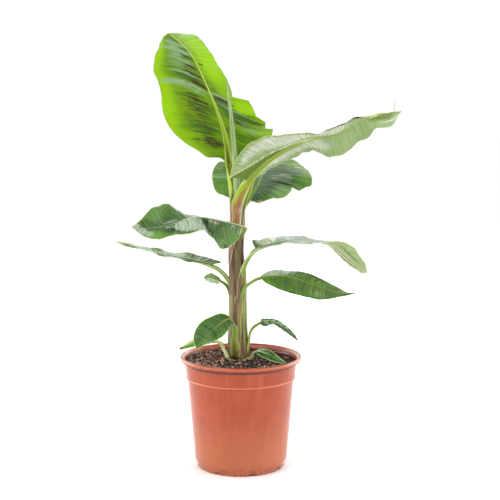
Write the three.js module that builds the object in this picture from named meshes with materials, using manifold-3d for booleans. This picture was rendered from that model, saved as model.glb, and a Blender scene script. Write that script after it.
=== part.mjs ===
import * as THREE from "three";
import { mergeVertices } from "three/addons/utils/BufferGeometryUtils.js";
import Module from "manifold-3d";

// Banana plant in a nursery pot. Millimetres and degrees, +Z up, +X to the right and +Y away from the
// side that the plant is looked at from. The origin is the centre of the pot's flat underside.

// The pot: a moulded plastic pot with a rolled lip, a collar below it, a chamfered foot and drain notches.
const POT = {
  height: 158, lipRadius: 85, lipHeight: 11, collarRadius: 77, collarFootRadius: 75.2, collarFoot: 127.5,
  wallTopRadius: 73.3, wallFootRadius: 63.4, chamferTop: 11, footRadius: 61, footTop: 5,
  wall: 1.5, floor: 2.5, segments: 48,
};
const NOTCH = { count: 8, turn: 14, width: 9, height: 3, depth: 5 };

// Potting mix fills the pot to just under its lip and rises a little to the middle.
const SOIL = { top: 151.5, crown: 1.2, crownRadius: 58, clear: 1 };

// The pseudostem: leaf sheaths rolled round each other, cut flat where it leaves the soil.
const STEM = {
  top: 377, centre: -4.2, sway: -2.6, swayHeight: 304, swayLength: 26, depthShare: 0.94,
  heights: [150, 171, 222, 272, 304, 351, 379],
  radii: [14.3, 14.2, 12.4, 12.3, 10.9, 10.6, 11.2],
  rings: 20, sides: 20,
};

// The spear is the newest leaf, still rolled into a slim cone.
const SPEAR = {
  line: [[-4, 0, 374], [-6.5, -1, 419], [-9, -1, 447], [-13, -1, 495], [-16.5, -1, 522], [-20, -1, 546]],
  radii: [6, 5, 4.1, 3.3, 2.4, 0.7],
  rings: 12, sides: 10,
};

const CLEARANCE = 0.3;
const THINNEST_BLADE = 1.5;
const SLENDERNESS = 100;

// A leaf is a stalk that carries on as the rib of its blade. foot, stalk and rib are the points that
// they pass through, and the rib starts at the collar. splits are the lengths from the foot at which a
// leaf that bends far round is divided.
// Each half of the blade has its own angles, read evenly from collar to tip: fold is the angle that it
// stands above the rib's cross line, curl how much more it turns by its margin, and lean how far its
// veins slant to the tip. share scales the half's width, lobe carries its base back past the collar, and
// edge is a torn margin, as pairs of a place along the rib and a share of the width.
const LEAVES = {
  leaf_upper_right: {
    foot: [-5, -4, 359], stalk: [[1, -10, 383]],
    rib: [
      [10, -20, 406], [38, -40, 435], [64, -58, 452], [97, -80, 467],
      [125, -94, 473], [147, -104, 483], [172, -113, 493], [206, -122, 502],
    ],
    width: 104, widest: 0.4, baseFullness: 3.5, tipFullness: 3.5, ripple: 2, waves: 2,
    left: { fold: [-15, -10, -30, -50, -45, -10], share: [0.9, 0.7, 0.8, 0.78, 0.5, 0.5] },
    right: { fold: [25, 35, 35, 35, 30, 20], share: [1.2, 0.85, 0.48, 0.32, 0.22, 0.25], lobe: 20 },
    stalkRadius: 5.5, colour: "young", detail: 3,
  },
  leaf_top: {
    foot: [-9, 3, 372], stalk: [[-12, 5, 402]],
    rib: [
      [-16, 9, 428], [-22, 15, 466], [-34, 26, 503], [-50, 40, 540],
      [-69, 62, 577], [-87, 82, 596], [-110, 104, 609],
    ],
    facing: [0.15, -1, 0.3], width: 150, widest: 0.36, baseFullness: 3.2, tipFullness: 4,
    ripple: 2.5, waves: 3,
    left: {
      fold: [15, 10, 5, 5, 0], curl: [0, -10, -15, -25],
      lean: [0.1, 0.1, 0.3, 0.35, 0.3], share: [0.96, 0.97, 0.87, 0.71, 0.62],
    },
    right: {
      fold: [8, 5, -25, -30, -35], curl: [0, 0, 0, -10],
      lean: [-0.2, -0.45, -0.45, -0.3, 0], share: [1, 0.95, 0.64, 0.48, 0.45],
      edge: [
        [0, 0.97], [0.265, 0.97], [0.275, 0.9], [0.325, 0.95], [0.335, 0.74],
        [0.46, 0.84], [0.47, 0.66], [0.6, 0.85], [0.7, 1],
      ],
    },
    stalkRadius: 4.5, colour: "young", detail: 3,
  },
  leaf_back: {
    foot: [-2, 10, 354], stalk: [[1, 22, 362]],
    rib: [[8, 40, 371], [26, 90, 394], [34, 150, 413], [32, 205, 425]],
    width: 148, widest: 0.45, baseFullness: 3.2, ripple: 4, waves: 3,
    left: { fold: [-5, 5, 8, 8], curl: [-10, -12, -20], share: [0.8, 1, 1, 1] },
    right: {
      fold: [-10, 2, 8, 5], curl: [-10, -15, -20],
      edge: [[0, 0.56], [0.35, 0.66], [0.36, 0.45], [0.375, 0.45], [0.385, 0.95], [1, 0.97]],
    },
    stalkRadius: 4, colour: "grown", detail: 3,
  },
  leaf_left_broad: {
    foot: [3, -6, 328], stalk: [[5, -16, 340]],
    rib: [
      [1, -25, 346], [-25, -38, 353], [-51, -44, 358], [-68, -48, 358],
      [-92, -56, 350], [-121, -62, 345], [-145, -70, 348],
    ],
    width: 84, widest: 0.4, baseFullness: 3, ripple: 1.5, waves: 2,
    left: { fold: [-78, -74, -52, -40, -35, -30], share: [0.7, 0.95, 0.6, 0.62, 0.68, 0.75], lobe: 4 },
    right: { fold: [-40, -30, -2, 50, 52, 25], share: [0.8, 0.7, 0.68, 0.86, 0.9, 0.9] },
    stalkRadius: 4, colour: "grown", detail: 3,
  },
  leaf_left_slender: {
    foot: [-8, -2, 243], stalk: [[-17, 0, 265], [-29, 0, 279]],
    rib: [[-43, 2, 286], [-66, 5, 292], [-95, 8, 297], [-132, 10, 307], [-180, 14, 318]],
    splits: [40],
    width: 40, widest: 0.42, baseFullness: 3, ripple: 1.5, waves: 3,
    left: { fold: [4, 5, 4, 3] },
    right: { fold: [10, 6, 4, 0], lobe: 16 },
    stalkRadius: 3, colour: "grown", detail: 2,
  },
  leaf_left_small: {
    foot: [-14, 2, 236], stalk: [[-19, 8, 254]],
    rib: [[-28, 14, 261], [-41, 22, 265], [-53, 30, 265]],
    width: 20, widest: 0.42,
    left: { fold: [-45, -40] },
    right: { fold: [30, 25] },
    stalkRadius: 2, colour: "grown", detail: 1,
  },
  leaf_right_arching: {
    foot: [5, -6, 259], stalk: [[5, -9, 284], [12, -9, 300]],
    rib: [[23, -6, 310], [58, 0, 319], [97, 12, 321], [129, 28, 312], [157, 48, 290], [184, 66, 266]],
    splits: [40, 157],
    width: 54, widest: 0.42, baseFullness: 3.2, ripple: 1.5, waves: 3,
    left: { fold: [22, 5, -1, -10, -10], share: [1.1, 1, 1, 0.75, 0.8], lobe: 12 },
    right: { fold: [0, -5, 5, 20, 15], share: [1, 1, 1, 1.02, 0.8] },
    stalkRadius: 3, colour: "grown", detail: 2,
  },
  leaf_right_lower: {
    foot: [3, -9, 230], stalk: [[3, -12, 252], [12, -15, 263]],
    rib: [
      [27, -18, 271], [57, -28, 275], [82, -36, 271], [111, -44, 261], [135, -50, 255], [157, -56, 256],
    ],
    splits: [24],
    width: 51, widest: 0.42, ripple: 1, waves: 2, bank: [20, 28, 30, 10],
    left: { fold: [-10, -10], share: [1, 1, 0.92, 0.9], lobe: 6 },
    right: { fold: [-12, -12], share: [1, 1, 0.88, 0.7] },
    stalkRadius: 2.5, colour: "grown", detail: 2,
  },
  leaf_low_left: {
    foot: [-9, -15, 152], stalk: [[-9, -17, 183]],
    rib: [[-8, -20, 204], [-17, -27, 211], [-38, -42, 201], [-53, -54, 189], [-60, -62, 179]],
    splits: [42],
    width: 38, widest: 0.42, baseFullness: 3, bank: [-20, -32, -28],
    left: { fold: [0, 0] },
    right: { fold: [0, 0] },
    stalkRadius: 3, flare: 1.3, colour: "grown", detail: 2,
  },
  leaf_low_left_back: {
    foot: [-19, -8, 152], stalk: [[-26, -4, 165]],
    rib: [[-35, 0, 177], [-58, 4, 175], [-88, 8, 165]],
    width: 16, widest: 0.42,
    left: { fold: [-10, -10] },
    right: { fold: [10, 10] },
    stalkRadius: 2.5, colour: "grown", detail: 1,
  },
  leaf_low_right: {
    foot: [11, -4, 152], stalk: [[11, -6, 178], [14, -6, 194]],
    rib: [[26, -6, 205], [41, -8, 208], [61, -10, 200], [81, -12, 181]],
    splits: [44],
    width: 20, widest: 0.42, baseFullness: 3.5,
    left: { fold: [25, 15, 10], lobe: 8 },
    right: { fold: [-25, -20, -10] },
    stalkRadius: 2, colour: "grown", detail: 1,
  },
  leaf_low_right_front: {
    foot: [8, -13, 152], stalk: [[14, -15, 158]],
    rib: [[20, -18, 167], [35, -26, 166], [50, -34, 160], [63, -40, 156]],
    width: 20, widest: 0.42,
    left: { fold: [20, 20] },
    right: { fold: [-35, -35, -20] },
    stalkRadius: 2.2, colour: "grown", detail: 1,
  },
};

// How finely a leaf is faceted: steps along its stalk, steps along its blade and columns across each half.
const FACETS = { 1: [4, 8, 2], 2: [6, 12, 2], 3: [6, 16, 3] };

const COLOURS = {
  pot: 0xbf5d43, soil: 0x3c2d26, stem: 0x8c7d4b, spear: 0xa9b98a, young: 0x8cb820, grown: 0x4d7f33,
};
const ROUGHNESS = { pot: 0.42, soil: 0.95, stem: 0.55, leaf: 0.4 };

const rad = THREE.MathUtils.degToRad;
const vector = (xyz) => new THREE.Vector3(...xyz);
const wasm = await Module();
wasm.setup();

// A smooth curve through values at rising places, read at x.
function ease(values, places, x) {
  const last = values.length - 1;
  const at = Math.min(Math.max(x, places[0]), places[last]);
  let i = 0;
  while (i < last - 1 && at > places[i + 1]) i += 1;
  const slope = (k) => {
    const a = Math.max(k - 1, 0);
    const b = Math.min(k + 1, last);
    return (values[b] - values[a]) / (places[b] - places[a]);
  };
  const h = places[i + 1] - places[i];
  const t = (at - places[i]) / h;
  return ((2 * t - 3) * t * t + 1) * values[i] + ((t - 2) * t + 1) * t * h * slope(i)
    + (3 - 2 * t) * t * t * values[i + 1] + (t - 1) * t * t * h * slope(i + 1);
}

// Values spaced evenly from 0 to 1, read at t.
const even = (values, t) => ease(values, values.map((_, i) => i / (values.length - 1)), t);

// Straight lines through pairs of place and value, read at t.
function stepped(pairs, t) {
  const next = pairs.findIndex((pair) => pair[0] >= t);
  if (next < 0) return pairs[pairs.length - 1][1];
  if (next === 0) return pairs[0][1];
  const [a, from] = pairs[next - 1];
  const [b, to] = pairs[next];
  return from + (to - from) * (t - a) / (b - a);
}

// A curve through knots, read by the length run along their chords.
function curveThrough(knots) {
  const places = [0];
  for (let i = 1; i < knots.length; i += 1) {
    places.push(places[i - 1] + vector(knots[i]).distanceTo(vector(knots[i - 1])));
  }
  const length = places[places.length - 1];
  const point = (s) => vector([0, 1, 2].map((axis) => ease(knots.map((k) => k[axis]), places, s)));
  const reach = 1.5;
  const heading = (s) => point(Math.min(length, s + reach)).sub(point(Math.max(0, s - reach))).normalize();
  return { places, length, point, heading };
}

// The width of one half of the blade at t.
function halfWidth(leaf, half, t) {
  const rise = leaf.baseFullness ?? 2.4;
  const fall = leaf.tipFullness ?? 2.2;
  const shape = t < leaf.widest
    ? Math.max(0, 1 - (1 - t / leaf.widest) ** rise) ** 0.6
    : Math.max(0, 1 - ((t - leaf.widest) / (1 - leaf.widest)) ** fall) ** 0.75;
  const share = half.share ? even(half.share, t) : 1;
  const torn = half.edge ? stepped(half.edge, t) : 1;
  return leaf.width / 2 * shape * share * torn;
}

// The rib at s: its place, where it heads, and which way the leaf's left side and upper face point.
function ribFrame(leaf, curve, s, t) {
  const at = curve.point(s);
  const along = curve.heading(s);
  const left = vector(leaf.facing ?? [0, 0, 1]).cross(along).normalize();
  const up = along.clone().cross(left);
  const bank = rad(leaf.bank ? even(leaf.bank, t) : 0);
  return {
    at,
    along,
    left: left.clone().multiplyScalar(Math.cos(bank)).addScaledVector(up, Math.sin(bank)),
    up: up.clone().multiplyScalar(Math.cos(bank)).addScaledVector(left, -Math.sin(bank)),
  };
}

// A point of the blade's middle surface and its normal. side is 1 on the left and -1 on the right, and
// u runs from 0 at the rib to 1 at the margin.
function bladePoint(leaf, frame, t, side, u, width) {
  const half = side > 0 ? leaf.left : leaf.right;
  const fold = even(half.fold, t);
  const curl = half.curl ? even(half.curl, t) : 0;
  const lean = half.lean ? even(half.lean, t) : 0.12;
  const point = frame.at.clone();
  const strides = 8;
  for (let k = 0; k < strides; k += 1) {
    const angle = rad(fold + curl * u * (k + 0.5) / strides);
    point.addScaledVector(frame.left, Math.cos(angle) * side * width * u / strides);
    point.addScaledVector(frame.up, Math.sin(angle) * width * u / strides);
  }
  const angle = rad(fold + curl * u);
  const normal = frame.up.clone().multiplyScalar(Math.cos(angle));
  normal.addScaledVector(frame.left, -Math.sin(angle) * side);
  const phase = side > 0 ? 0.25 : 0.6;
  const wave = Math.sin(2 * Math.PI * ((leaf.waves ?? 0) * t + phase)) * Math.min(1, 6 * t, 6 * (1 - t));
  point.addScaledVector(normal, (leaf.ripple ?? 0) * u * u * wave);
  const back = (half.lobe ?? 0) * u * Math.max(0, 1 - t / 0.22) ** 2;
  point.addScaledVector(frame.along, lean * width * u * u - back);
  return { point, normal };
}

// A ring of the leaf's skin runs over its upper face from the left to the right, then back underneath.
function stalkRing(frame, radius, columns) {
  const last = 2 * columns;
  const corner = 12;
  const arc = (from, to) => Array.from({ length: last + 1 }, (_, i) => {
    const angle = rad(from + (to - from) * i / last);
    return frame.at.clone().addScaledVector(frame.left, Math.cos(angle) * radius)
      .addScaledVector(frame.up, Math.sin(angle) * radius * 0.9);
  });
  return [...arc(corner, 180 - corner), ...arc(180 + corner, 360 - corner)];
}

function bladeRing(leaf, frame, t, radius, columns, thickness, grow) {
  const half = thickness / 2;
  const row = (side) => {
    const width = Math.max(halfWidth(leaf, side > 0 ? leaf.left : leaf.right, t), radius, 1) + grow;
    const keel = Math.min(0.35, 1.1 * radius / width);
    return Array.from({ length: columns }, (_, j) => {
      const u = keel + (1 - keel) * j / (columns - 1);
      return bladePoint(leaf, frame, t, side, u, width);
    });
  };
  const face = (offset, ridge) => {
    const place = ({ point, normal }) => point.clone().addScaledVector(normal, offset);
    return [...row(1).reverse().map(place), ridge, ...row(-1).map(place)];
  };
  const crest = bladePoint(leaf, frame, t, 1, 0, 1).normal.add(bladePoint(leaf, frame, t, -1, 0, 1).normal);
  const mitre = Math.min(2.5, 2 / Math.max(crest.length(), 0.1)) * half;
  crest.normalize();
  const upper = face(half, frame.at.clone().addScaledVector(crest, mitre));
  const lower = face(-half, frame.at.clone().addScaledVector(crest, -Math.max(radius, mitre)));
  return [...upper, ...lower.reverse()];
}

// A closed skin over rings of equal count, in which each ring is a row of points and a row back again.
function loft(rings) {
  const count = rings[0].length;
  const faces = [];
  const quad = (a, b, c, d) => faces.push(a, b, c, a, c, d);
  for (let k = 0; k < rings.length - 1; k += 1) {
    for (let i = 0; i < count; i += 1) {
      const j = (i + 1) % count;
      quad(k * count + i, (k + 1) * count + i, (k + 1) * count + j, k * count + j);
    }
  }
  const end = (rings.length - 1) * count;
  for (let i = 0; i < count / 2 - 1; i += 1) {
    quad(i, i + 1, count - 2 - i, count - 1 - i);
    quad(end + i, end + count - 1 - i, end + count - 2 - i, end + i + 1);
  }
  const geometry = new THREE.BufferGeometry();
  const numbers = Float32Array.from(rings.flat().flatMap((p) => p.toArray()));
  geometry.setAttribute("position", new THREE.BufferAttribute(numbers, 3));
  geometry.setIndex(faces);
  return geometry;
}

// Six times the space that a closed skin holds, below zero where its faces point inwards.
function heldSpace(geometry) {
  const { array } = geometry.index;
  const corner = (i) => new THREE.Vector3().fromBufferAttribute(geometry.attributes.position, array[i]);
  let sum = 0;
  for (let i = 0; i < array.length; i += 3) sum += corner(i).dot(corner(i + 1).cross(corner(i + 2)));
  return sum;
}

function solid(geometry) {
  const bare = geometry.clone();
  bare.deleteAttribute("normal");
  bare.deleteAttribute("uv");
  const merged = mergeVertices(bare, 1e-4);
  const index = Uint32Array.from(merged.index.array);
  if (heldSpace(merged) < 0) index.reverse();
  const vertProperties = Float32Array.from(merged.attributes.position.array);
  return new wasm.Manifold(new wasm.Mesh({ numProp: 3, vertProperties, triVerts: index }));
}

// The largest piece of a solid, so that a cut leaves no scrap.
const largest = (body) => body.decompose().sort((a, b) => b.volume() - a.volume())[0];

// The leaf's skin between two lengths along its curve, swollen by grow where it cuts a neighbour. A ring
// stands at each torn place, and the regular rings that come too near to one are left out.
function leafSolid(leaf, start = 0, stop = Infinity, grow = 0) {
  const [stalkSteps, bladeSteps, columns] = FACETS[leaf.detail];
  const curve = curveThrough([leaf.foot, ...leaf.stalk, ...leaf.rib]);
  const end = Math.min(stop, curve.length);
  const collar = curve.places[1 + leaf.stalk.length];
  const bladeLength = curve.length - collar;
  const thickness = Math.max(THINNEST_BLADE, curve.length / SLENDERNESS) + 2 * grow;
  const edges = [leaf.left, leaf.right].flatMap((half) => half.edge ?? []);
  const torn = edges.map(([t]) => collar + bladeLength * t).filter((s) => s > start && s < end);
  const steps = (count, a, b) => Array.from({ length: count + 1 }, (_, i) => a + (b - a) * i / count);
  const rounding = 0.03 * bladeLength;
  const regular = [
    ...steps(stalkSteps, 0, collar), ...steps(bladeSteps, collar, curve.length).slice(1),
    collar + rounding, curve.length - rounding,
  ];
  const nearest = 0.012 * bladeLength;
  const apart = (s) => [start, ...torn, end].every((other) => Math.abs(other - s) > nearest);
  const kept = regular.filter((s) => s > start && s < end && apart(s));
  const rings = [start, ...kept, ...torn, end].sort((a, b) => a - b).map((s) => {
    const t = (s - collar) / bladeLength;
    const frame = ribFrame(leaf, curve, s, Math.max(0, t));
    const away = Math.max(0, 1 - s / collar);
    const taper = t > 0 ? 1 - 0.8 * t : 1 + (leaf.flare ?? 0.5) * away * away;
    const radius = leaf.stalkRadius * taper + grow;
    if (t <= 0) return stalkRing(frame, radius, columns);
    return bladeRing(leaf, frame, t, radius, columns, thickness, grow);
  });
  return solid(loft(rings));
}

// The pieces of a leaf from foot to tip: one more than its splits.
function leafPieces(leaf) {
  const splits = leaf.splits ?? [];
  const stops = [...splits.map((s) => s - CLEARANCE), Infinity];
  return [0, ...splits].map((start, i) => leafSolid(leaf, start, stops[i]));
}

// A round limb whose ring at each step has a centre and two half widths.
function limb(steps, sides, ringAt) {
  const rings = Array.from({ length: steps + 1 }, (_, k) => {
    const { centre, across, deep } = ringAt(k / steps);
    return Array.from({ length: sides }, (__, i) => {
      const angle = 2 * Math.PI * i / sides;
      return centre.clone().add(vector([Math.cos(angle) * across, Math.sin(angle) * deep, 0]));
    });
  });
  return solid(loft(rings));
}

const soilCrown = SOIL.top + SOIL.crown;

function stemSolid(grow = 0) {
  const low = soilCrown + CLEARANCE - grow;
  const high = STEM.top + grow;
  return limb(STEM.rings, STEM.sides, (share) => {
    const z = low + (high - low) * share;
    const sway = STEM.sway * Math.exp(-(((z - STEM.swayHeight) / STEM.swayLength) ** 2));
    const across = ease(STEM.radii, STEM.heights, z) + grow;
    return { centre: vector([STEM.centre + sway, 0, z]), across, deep: across * STEM.depthShare };
  });
}

function spearSolid() {
  const curve = curveThrough(SPEAR.line);
  return limb(SPEAR.rings, SPEAR.sides, (share) => {
    const radius = ease(SPEAR.radii, curve.places, curve.length * share);
    return { centre: curve.point(curve.length * share), across: radius, deep: radius };
  });
}

// A profile of radius and height, closed on itself, turned about the pot's axis.
function revolve(profile) {
  const points = [...profile, profile[0]].map(([r, z]) => new THREE.Vector2(r, z));
  return solid(new THREE.LatheGeometry(points, POT.segments).rotateX(Math.PI / 2));
}

// The radius of the inside of the pot's wall at a height.
function bore(z) {
  const rise = (POT.wallTopRadius - POT.wallFootRadius) / (POT.collarFoot - POT.chamferTop);
  return POT.wallFootRadius + rise * (z - POT.chamferTop) - POT.wall;
}

const mouthRadius = POT.collarRadius - POT.wall;
const shelf = POT.height - POT.lipHeight - 4;

function potSolid() {
  const { height, lipRadius, wall } = POT;
  const lipFoot = height - POT.lipHeight;
  let pot = revolve([
    [0, 0], [POT.footRadius - 0.5, 0], [POT.footRadius, POT.footTop],
    [POT.wallFootRadius, POT.chamferTop], [POT.wallTopRadius, POT.collarFoot - 0.5],
    [POT.collarFootRadius, POT.collarFoot], [POT.collarRadius, lipFoot],
    [lipRadius - 1, lipFoot + 1], [lipRadius, lipFoot + 4], [lipRadius, height - 3],
    [lipRadius - wall, height], [lipRadius - 3.5, height - 1.2], [mouthRadius + wall, height - 5],
    [mouthRadius, shelf],
    [bore(POT.collarFoot), POT.collarFoot - 1], [bore(POT.chamferTop), POT.chamferTop],
    [POT.footRadius - 3, POT.floor], [0, POT.floor],
  ]);
  for (let k = 0; k < NOTCH.count; k += 1) {
    const notch = new THREE.BoxGeometry(2 * NOTCH.depth, NOTCH.width, 2 * NOTCH.height);
    notch.translate(POT.footRadius, 0, 0).rotateZ(2 * Math.PI * k / NOTCH.count + rad(NOTCH.turn));
    pot = pot.subtract(solid(notch));
  }
  return pot;
}

function soilSolid() {
  const low = POT.floor + CLEARANCE;
  return revolve([
    [0, low], [POT.footRadius - 4, low], [bore(POT.chamferTop) - SOIL.clear, POT.chamferTop + 1],
    [bore(POT.collarFoot) - SOIL.clear, POT.collarFoot - 1], [mouthRadius - SOIL.clear, shelf],
    [mouthRadius, SOIL.top], [SOIL.crownRadius, soilCrown], [0, soilCrown],
  ]);
}

const group = new THREE.Group();

function addPiece(name, body, color, roughness) {
  const { vertProperties, triVerts } = body.getMesh();
  const geometry = new THREE.BufferGeometry();
  geometry.setAttribute("position", new THREE.BufferAttribute(Float32Array.from(vertProperties), 3));
  geometry.setIndex(Array.from(triVerts));
  const mesh = new THREE.Mesh(geometry, new THREE.MeshStandardMaterial({ color, roughness, metalness: 0 }));
  mesh.name = name;
  group.add(mesh);
}

addPiece("pot", potSolid(), COLOURS.pot, ROUGHNESS.pot);
addPiece("soil", soilSolid(), COLOURS.soil, ROUGHNESS.soil);
addPiece("pseudostem", stemSolid(), COLOURS.stem, ROUGHNESS.stem);

// Each stalk ends a clearance from the pseudostem, from the stalks set before it and from the soil.
const ground = new THREE.BoxGeometry(200, 200, 40).translate(0, 0, soilCrown + CLEARANCE - 20);
let taken = stemSolid(CLEARANCE).add(solid(ground));
for (const [name, leaf] of Object.entries(LEAVES)) {
  const pieces = leafPieces(leaf);
  const endings = { 1: [""], 2: ["_stalk", ""], 3: ["_stalk", "", "_tip"] }[pieces.length];
  pieces.forEach((piece, i) => {
    addPiece(name + endings[i], largest(piece.subtract(taken)), COLOURS[leaf.colour], ROUGHNESS.leaf);
  });
  if (leaf.colour === "young") taken = taken.add(leafSolid(leaf, 0, Infinity, CLEARANCE));
}
addPiece("spear_leaf", largest(spearSolid().subtract(taken)), COLOURS.spear, ROUGHNESS.stem);

export default group;
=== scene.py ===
import math
import bmesh
import bpy
import numpy as np
from mathutils import Matrix, Vector, noise


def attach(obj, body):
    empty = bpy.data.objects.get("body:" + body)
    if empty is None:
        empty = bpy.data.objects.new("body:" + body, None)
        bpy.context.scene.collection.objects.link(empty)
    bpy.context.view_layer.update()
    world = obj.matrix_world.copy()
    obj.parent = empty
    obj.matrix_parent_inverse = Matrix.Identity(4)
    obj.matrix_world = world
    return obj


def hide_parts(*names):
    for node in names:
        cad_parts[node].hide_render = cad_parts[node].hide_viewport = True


# A young banana plant in a nursery pot. +Z is up and -Y is the side that is looked at. The shapes are drawn
# in millimetres and scaled to metres when a mesh is made. Studio, materials and crumbs are in metres.
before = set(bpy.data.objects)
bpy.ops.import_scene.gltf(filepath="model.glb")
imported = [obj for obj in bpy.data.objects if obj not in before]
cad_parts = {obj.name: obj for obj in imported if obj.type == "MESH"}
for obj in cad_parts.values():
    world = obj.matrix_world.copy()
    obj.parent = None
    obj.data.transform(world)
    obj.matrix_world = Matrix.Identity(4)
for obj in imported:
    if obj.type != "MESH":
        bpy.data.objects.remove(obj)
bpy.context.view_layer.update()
MM = 0.001
scene = bpy.context.scene
scene.view_settings.view_transform = "Standard"


# The camera stands 1.7 m in front of the plant, at the height of its upper leaves, and looks slightly
# down at it.
CAMERA_PLACE = (0.013, -1.670, 0.526)
CAMERA_DOWN = 7.45
CAMERA_LENS = 86.8
CAMERA_SENSOR = 36

camera = bpy.data.objects.new("camera", bpy.data.cameras.new("camera"))
camera.location = CAMERA_PLACE
camera.rotation_euler = (math.radians(90 - CAMERA_DOWN), 0, 0)
camera.data.lens = CAMERA_LENS
camera.data.sensor_width = CAMERA_SENSOR
scene.collection.objects.link(camera)
scene.camera = camera


# A white studio: bright walls all round, a soft lamp high on the left, a weak one on the right, one behind
# the plant that shines through its young leaves, and one to each side that puts a gloss on its flanks.
def paint(red, green, blue):
    """A colour as it looks on a screen, from 0 to 255, in the shader's own light values."""
    def light(value):
        value /= 255
        return value / 12.92 if value <= 0.04045 else ((value + 0.055) / 1.055) ** 2.4
    return light(red), light(green), light(blue), 1.0


def put(tree, kind, sockets=None, **settings):
    """Adds a node. Each socket gets a value or a link."""
    node = tree.nodes.new(kind)
    for name, value in settings.items():
        setattr(node, name, value)
    for key, value in (sockets or {}).items():
        if isinstance(value, bpy.types.NodeSocket):
            tree.links.new(value, node.inputs[key])
        else:
            node.inputs[key].default_value = value
    return node


LAMP_AIM = Vector((0, 0, 0.3))


def soft_lamp(name, place, wide, tall, watts, colour):
    """A flat lamp that points at the plant."""
    lamp = bpy.data.objects.new(name, bpy.data.lights.new(name, "AREA"))
    lamp.data.shape = "RECTANGLE"
    lamp.data.size = wide
    lamp.data.size_y = tall
    lamp.data.energy = watts
    lamp.data.color = colour
    lamp.location = place
    lamp.rotation_euler = (LAMP_AIM - Vector(place)).to_track_quat("-Z", "Y").to_euler()
    scene.collection.objects.link(lamp)


WALL_BRIGHTNESS = 1.04
world = bpy.data.worlds.new("studio")
world.use_nodes = True
world.node_tree.nodes["Background"].inputs["Color"].default_value = (1, 1, 1, 1)
world.node_tree.nodes["Background"].inputs["Strength"].default_value = WALL_BRIGHTNESS
scene.world = world
soft_lamp("key_lamp", (-1.3, -1.5, 2.0), 1.2, 1.2, 18, (1, 0.98, 0.95))
soft_lamp("fill_lamp", (1.7, -1.2, 1.1), 1.0, 1.0, 4, (0.96, 0.98, 1))
soft_lamp("back_lamp", (0.3, 1.8, 1.5), 1.4, 1.4, 18, (1, 1, 1))
soft_lamp("left_lamp", (-2.0, 0.0, 0.4), 2.2, 0.8, 17, (1, 1, 1))
soft_lamp("right_lamp", (2.0, 0.0, 0.4), 2.2, 0.8, 19, (1, 1, 1))

FLOOR_REACH = 12
FLOOR_DROP = 0.0004
floor_mesh = bpy.data.meshes.new("floor")
floor_corners = [(x * FLOOR_REACH, y * FLOOR_REACH, -FLOOR_DROP)
                 for x, y in ((-1, -1), (1, -1), (1, 1), (-1, 1))]
floor_mesh.from_pydata(floor_corners, [], [(0, 1, 2, 3)])
floor = bpy.data.objects.new("floor", floor_mesh)
scene.collection.objects.link(floor)
floor_paint = bpy.data.materials.new("white_floor")
floor_paint.use_nodes = True
shader = floor_paint.node_tree.nodes["Principled BSDF"]
shader.inputs["Base Color"].default_value = (0.97, 0.97, 0.97, 1)
shader.inputs["Roughness"].default_value = 0.9
floor_mesh.materials.append(floor_paint)


# The pot: moulded terracotta-coloured plastic with a rolled lip, a collar under it, a tapering wall, a
# chamfered foot on a ring, and drain notches cut in the ring. It is turned from one rounded profile.
POT_TURN = 240
POT_NOTCHES = 8
POT_NOTCH_TURN = 14
POT_FOOT_RADIUS = 61.8
POT_NOTCH_SIZE = (10, 9, 6)
SHARP_EDGE = 40
# Radius, height and how much the corner is rounded, from the middle of the underside out and up, over
# the lip and down the inside.
POT_PROFILE = [
    (0, 0, 0), (57.5, 0, 0), (61.2, 0, 0.8), (61.8, 5, 0.8), (65, 10.5, 1.2), (75, 126.6, 0.5),
    (77.2, 127.1, 0.3), (77.5, 128, 0.4), (77, 129, 0.5), (78.8, 151.2, 0.4), (79.6, 152, 0.3),
    (84.8, 151.8, 0.6), (85.7, 153, 0.6), (85.7, 156.2, 1.0), (84.4, 158, 0.6), (82.6, 157.8, 0.6),
    (79.6, 155.4, 0.8), (77.2, 150, 1.5), (75.4, 129, 1), (73.4, 126, 1), (63.4, 11, 1), (59, 2.5, 1),
    (0, 2.5, 0),
]
CORNER_STEPS = 4
# Bands of another tone, from one height to another in metres: a painted highlight along the collar's lower
# edge and another along the lip, a darker top along the lip's inner edge, and painted shadow in the corner
# under the lip.
POT_BANDS = [
    (0.1269, 0.1284, paint(214, 124, 84)), (0.1548, 0.1560, paint(190, 98, 66)),
    (0.1572, 0.1600, paint(120, 42, 20)), (0.1476, 0.1522, paint(62, 18, 6)),
]
BAND_SOFT = 0.0002


def rounded(profile):
    """The profile with each corner drawn as a short curve."""
    line = []
    for k, (radius, height, round_off) in enumerate(profile):
        corner = Vector((radius, height))
        if not round_off:
            line.append(corner)
            continue
        before = Vector(profile[k - 1][:2]) - corner
        after = Vector(profile[k + 1][:2]) - corner
        a = corner + before.normalized() * min(round_off, before.length * 0.45)
        b = corner + after.normalized() * min(round_off, after.length * 0.45)
        for i in range(CORNER_STEPS + 1):
            t = i / CORNER_STEPS
            line.append(a * (1 - t) ** 2 + corner * 2 * t * (1 - t) + b * t ** 2)
    return line


def turned(line, count):
    """Vertices and faces of a profile turned about the Z axis. Points on the axis are one vertex."""
    verts, rows = [], []
    for radius, height in line:
        if radius < 1e-6:
            rows.append([len(verts)] * count)
            verts.append((0, 0, height))
            continue
        rows.append(range(len(verts), len(verts) + count))
        for i in range(count):
            angle = 2 * math.pi * i / count
            verts.append((radius * math.cos(angle), radius * math.sin(angle), height))
    faces = []
    for low, high in zip(rows, rows[1:]):
        for i in range(count):
            j = (i + 1) % count
            face = list(dict.fromkeys((low[i], low[j], high[j], high[i])))
            if len(face) > 2:
                faces.append(face)
    return verts, faces


def outward(mesh):
    """Turns all faces of a closed mesh outwards."""
    shape = bmesh.new()
    shape.from_mesh(mesh)
    bmesh.ops.recalc_face_normals(shape, faces=shape.faces)
    if shape.calc_volume(signed=True) < 0:
        bmesh.ops.reverse_faces(shape, faces=shape.faces)
    shape.to_mesh(mesh)
    shape.free()


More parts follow.
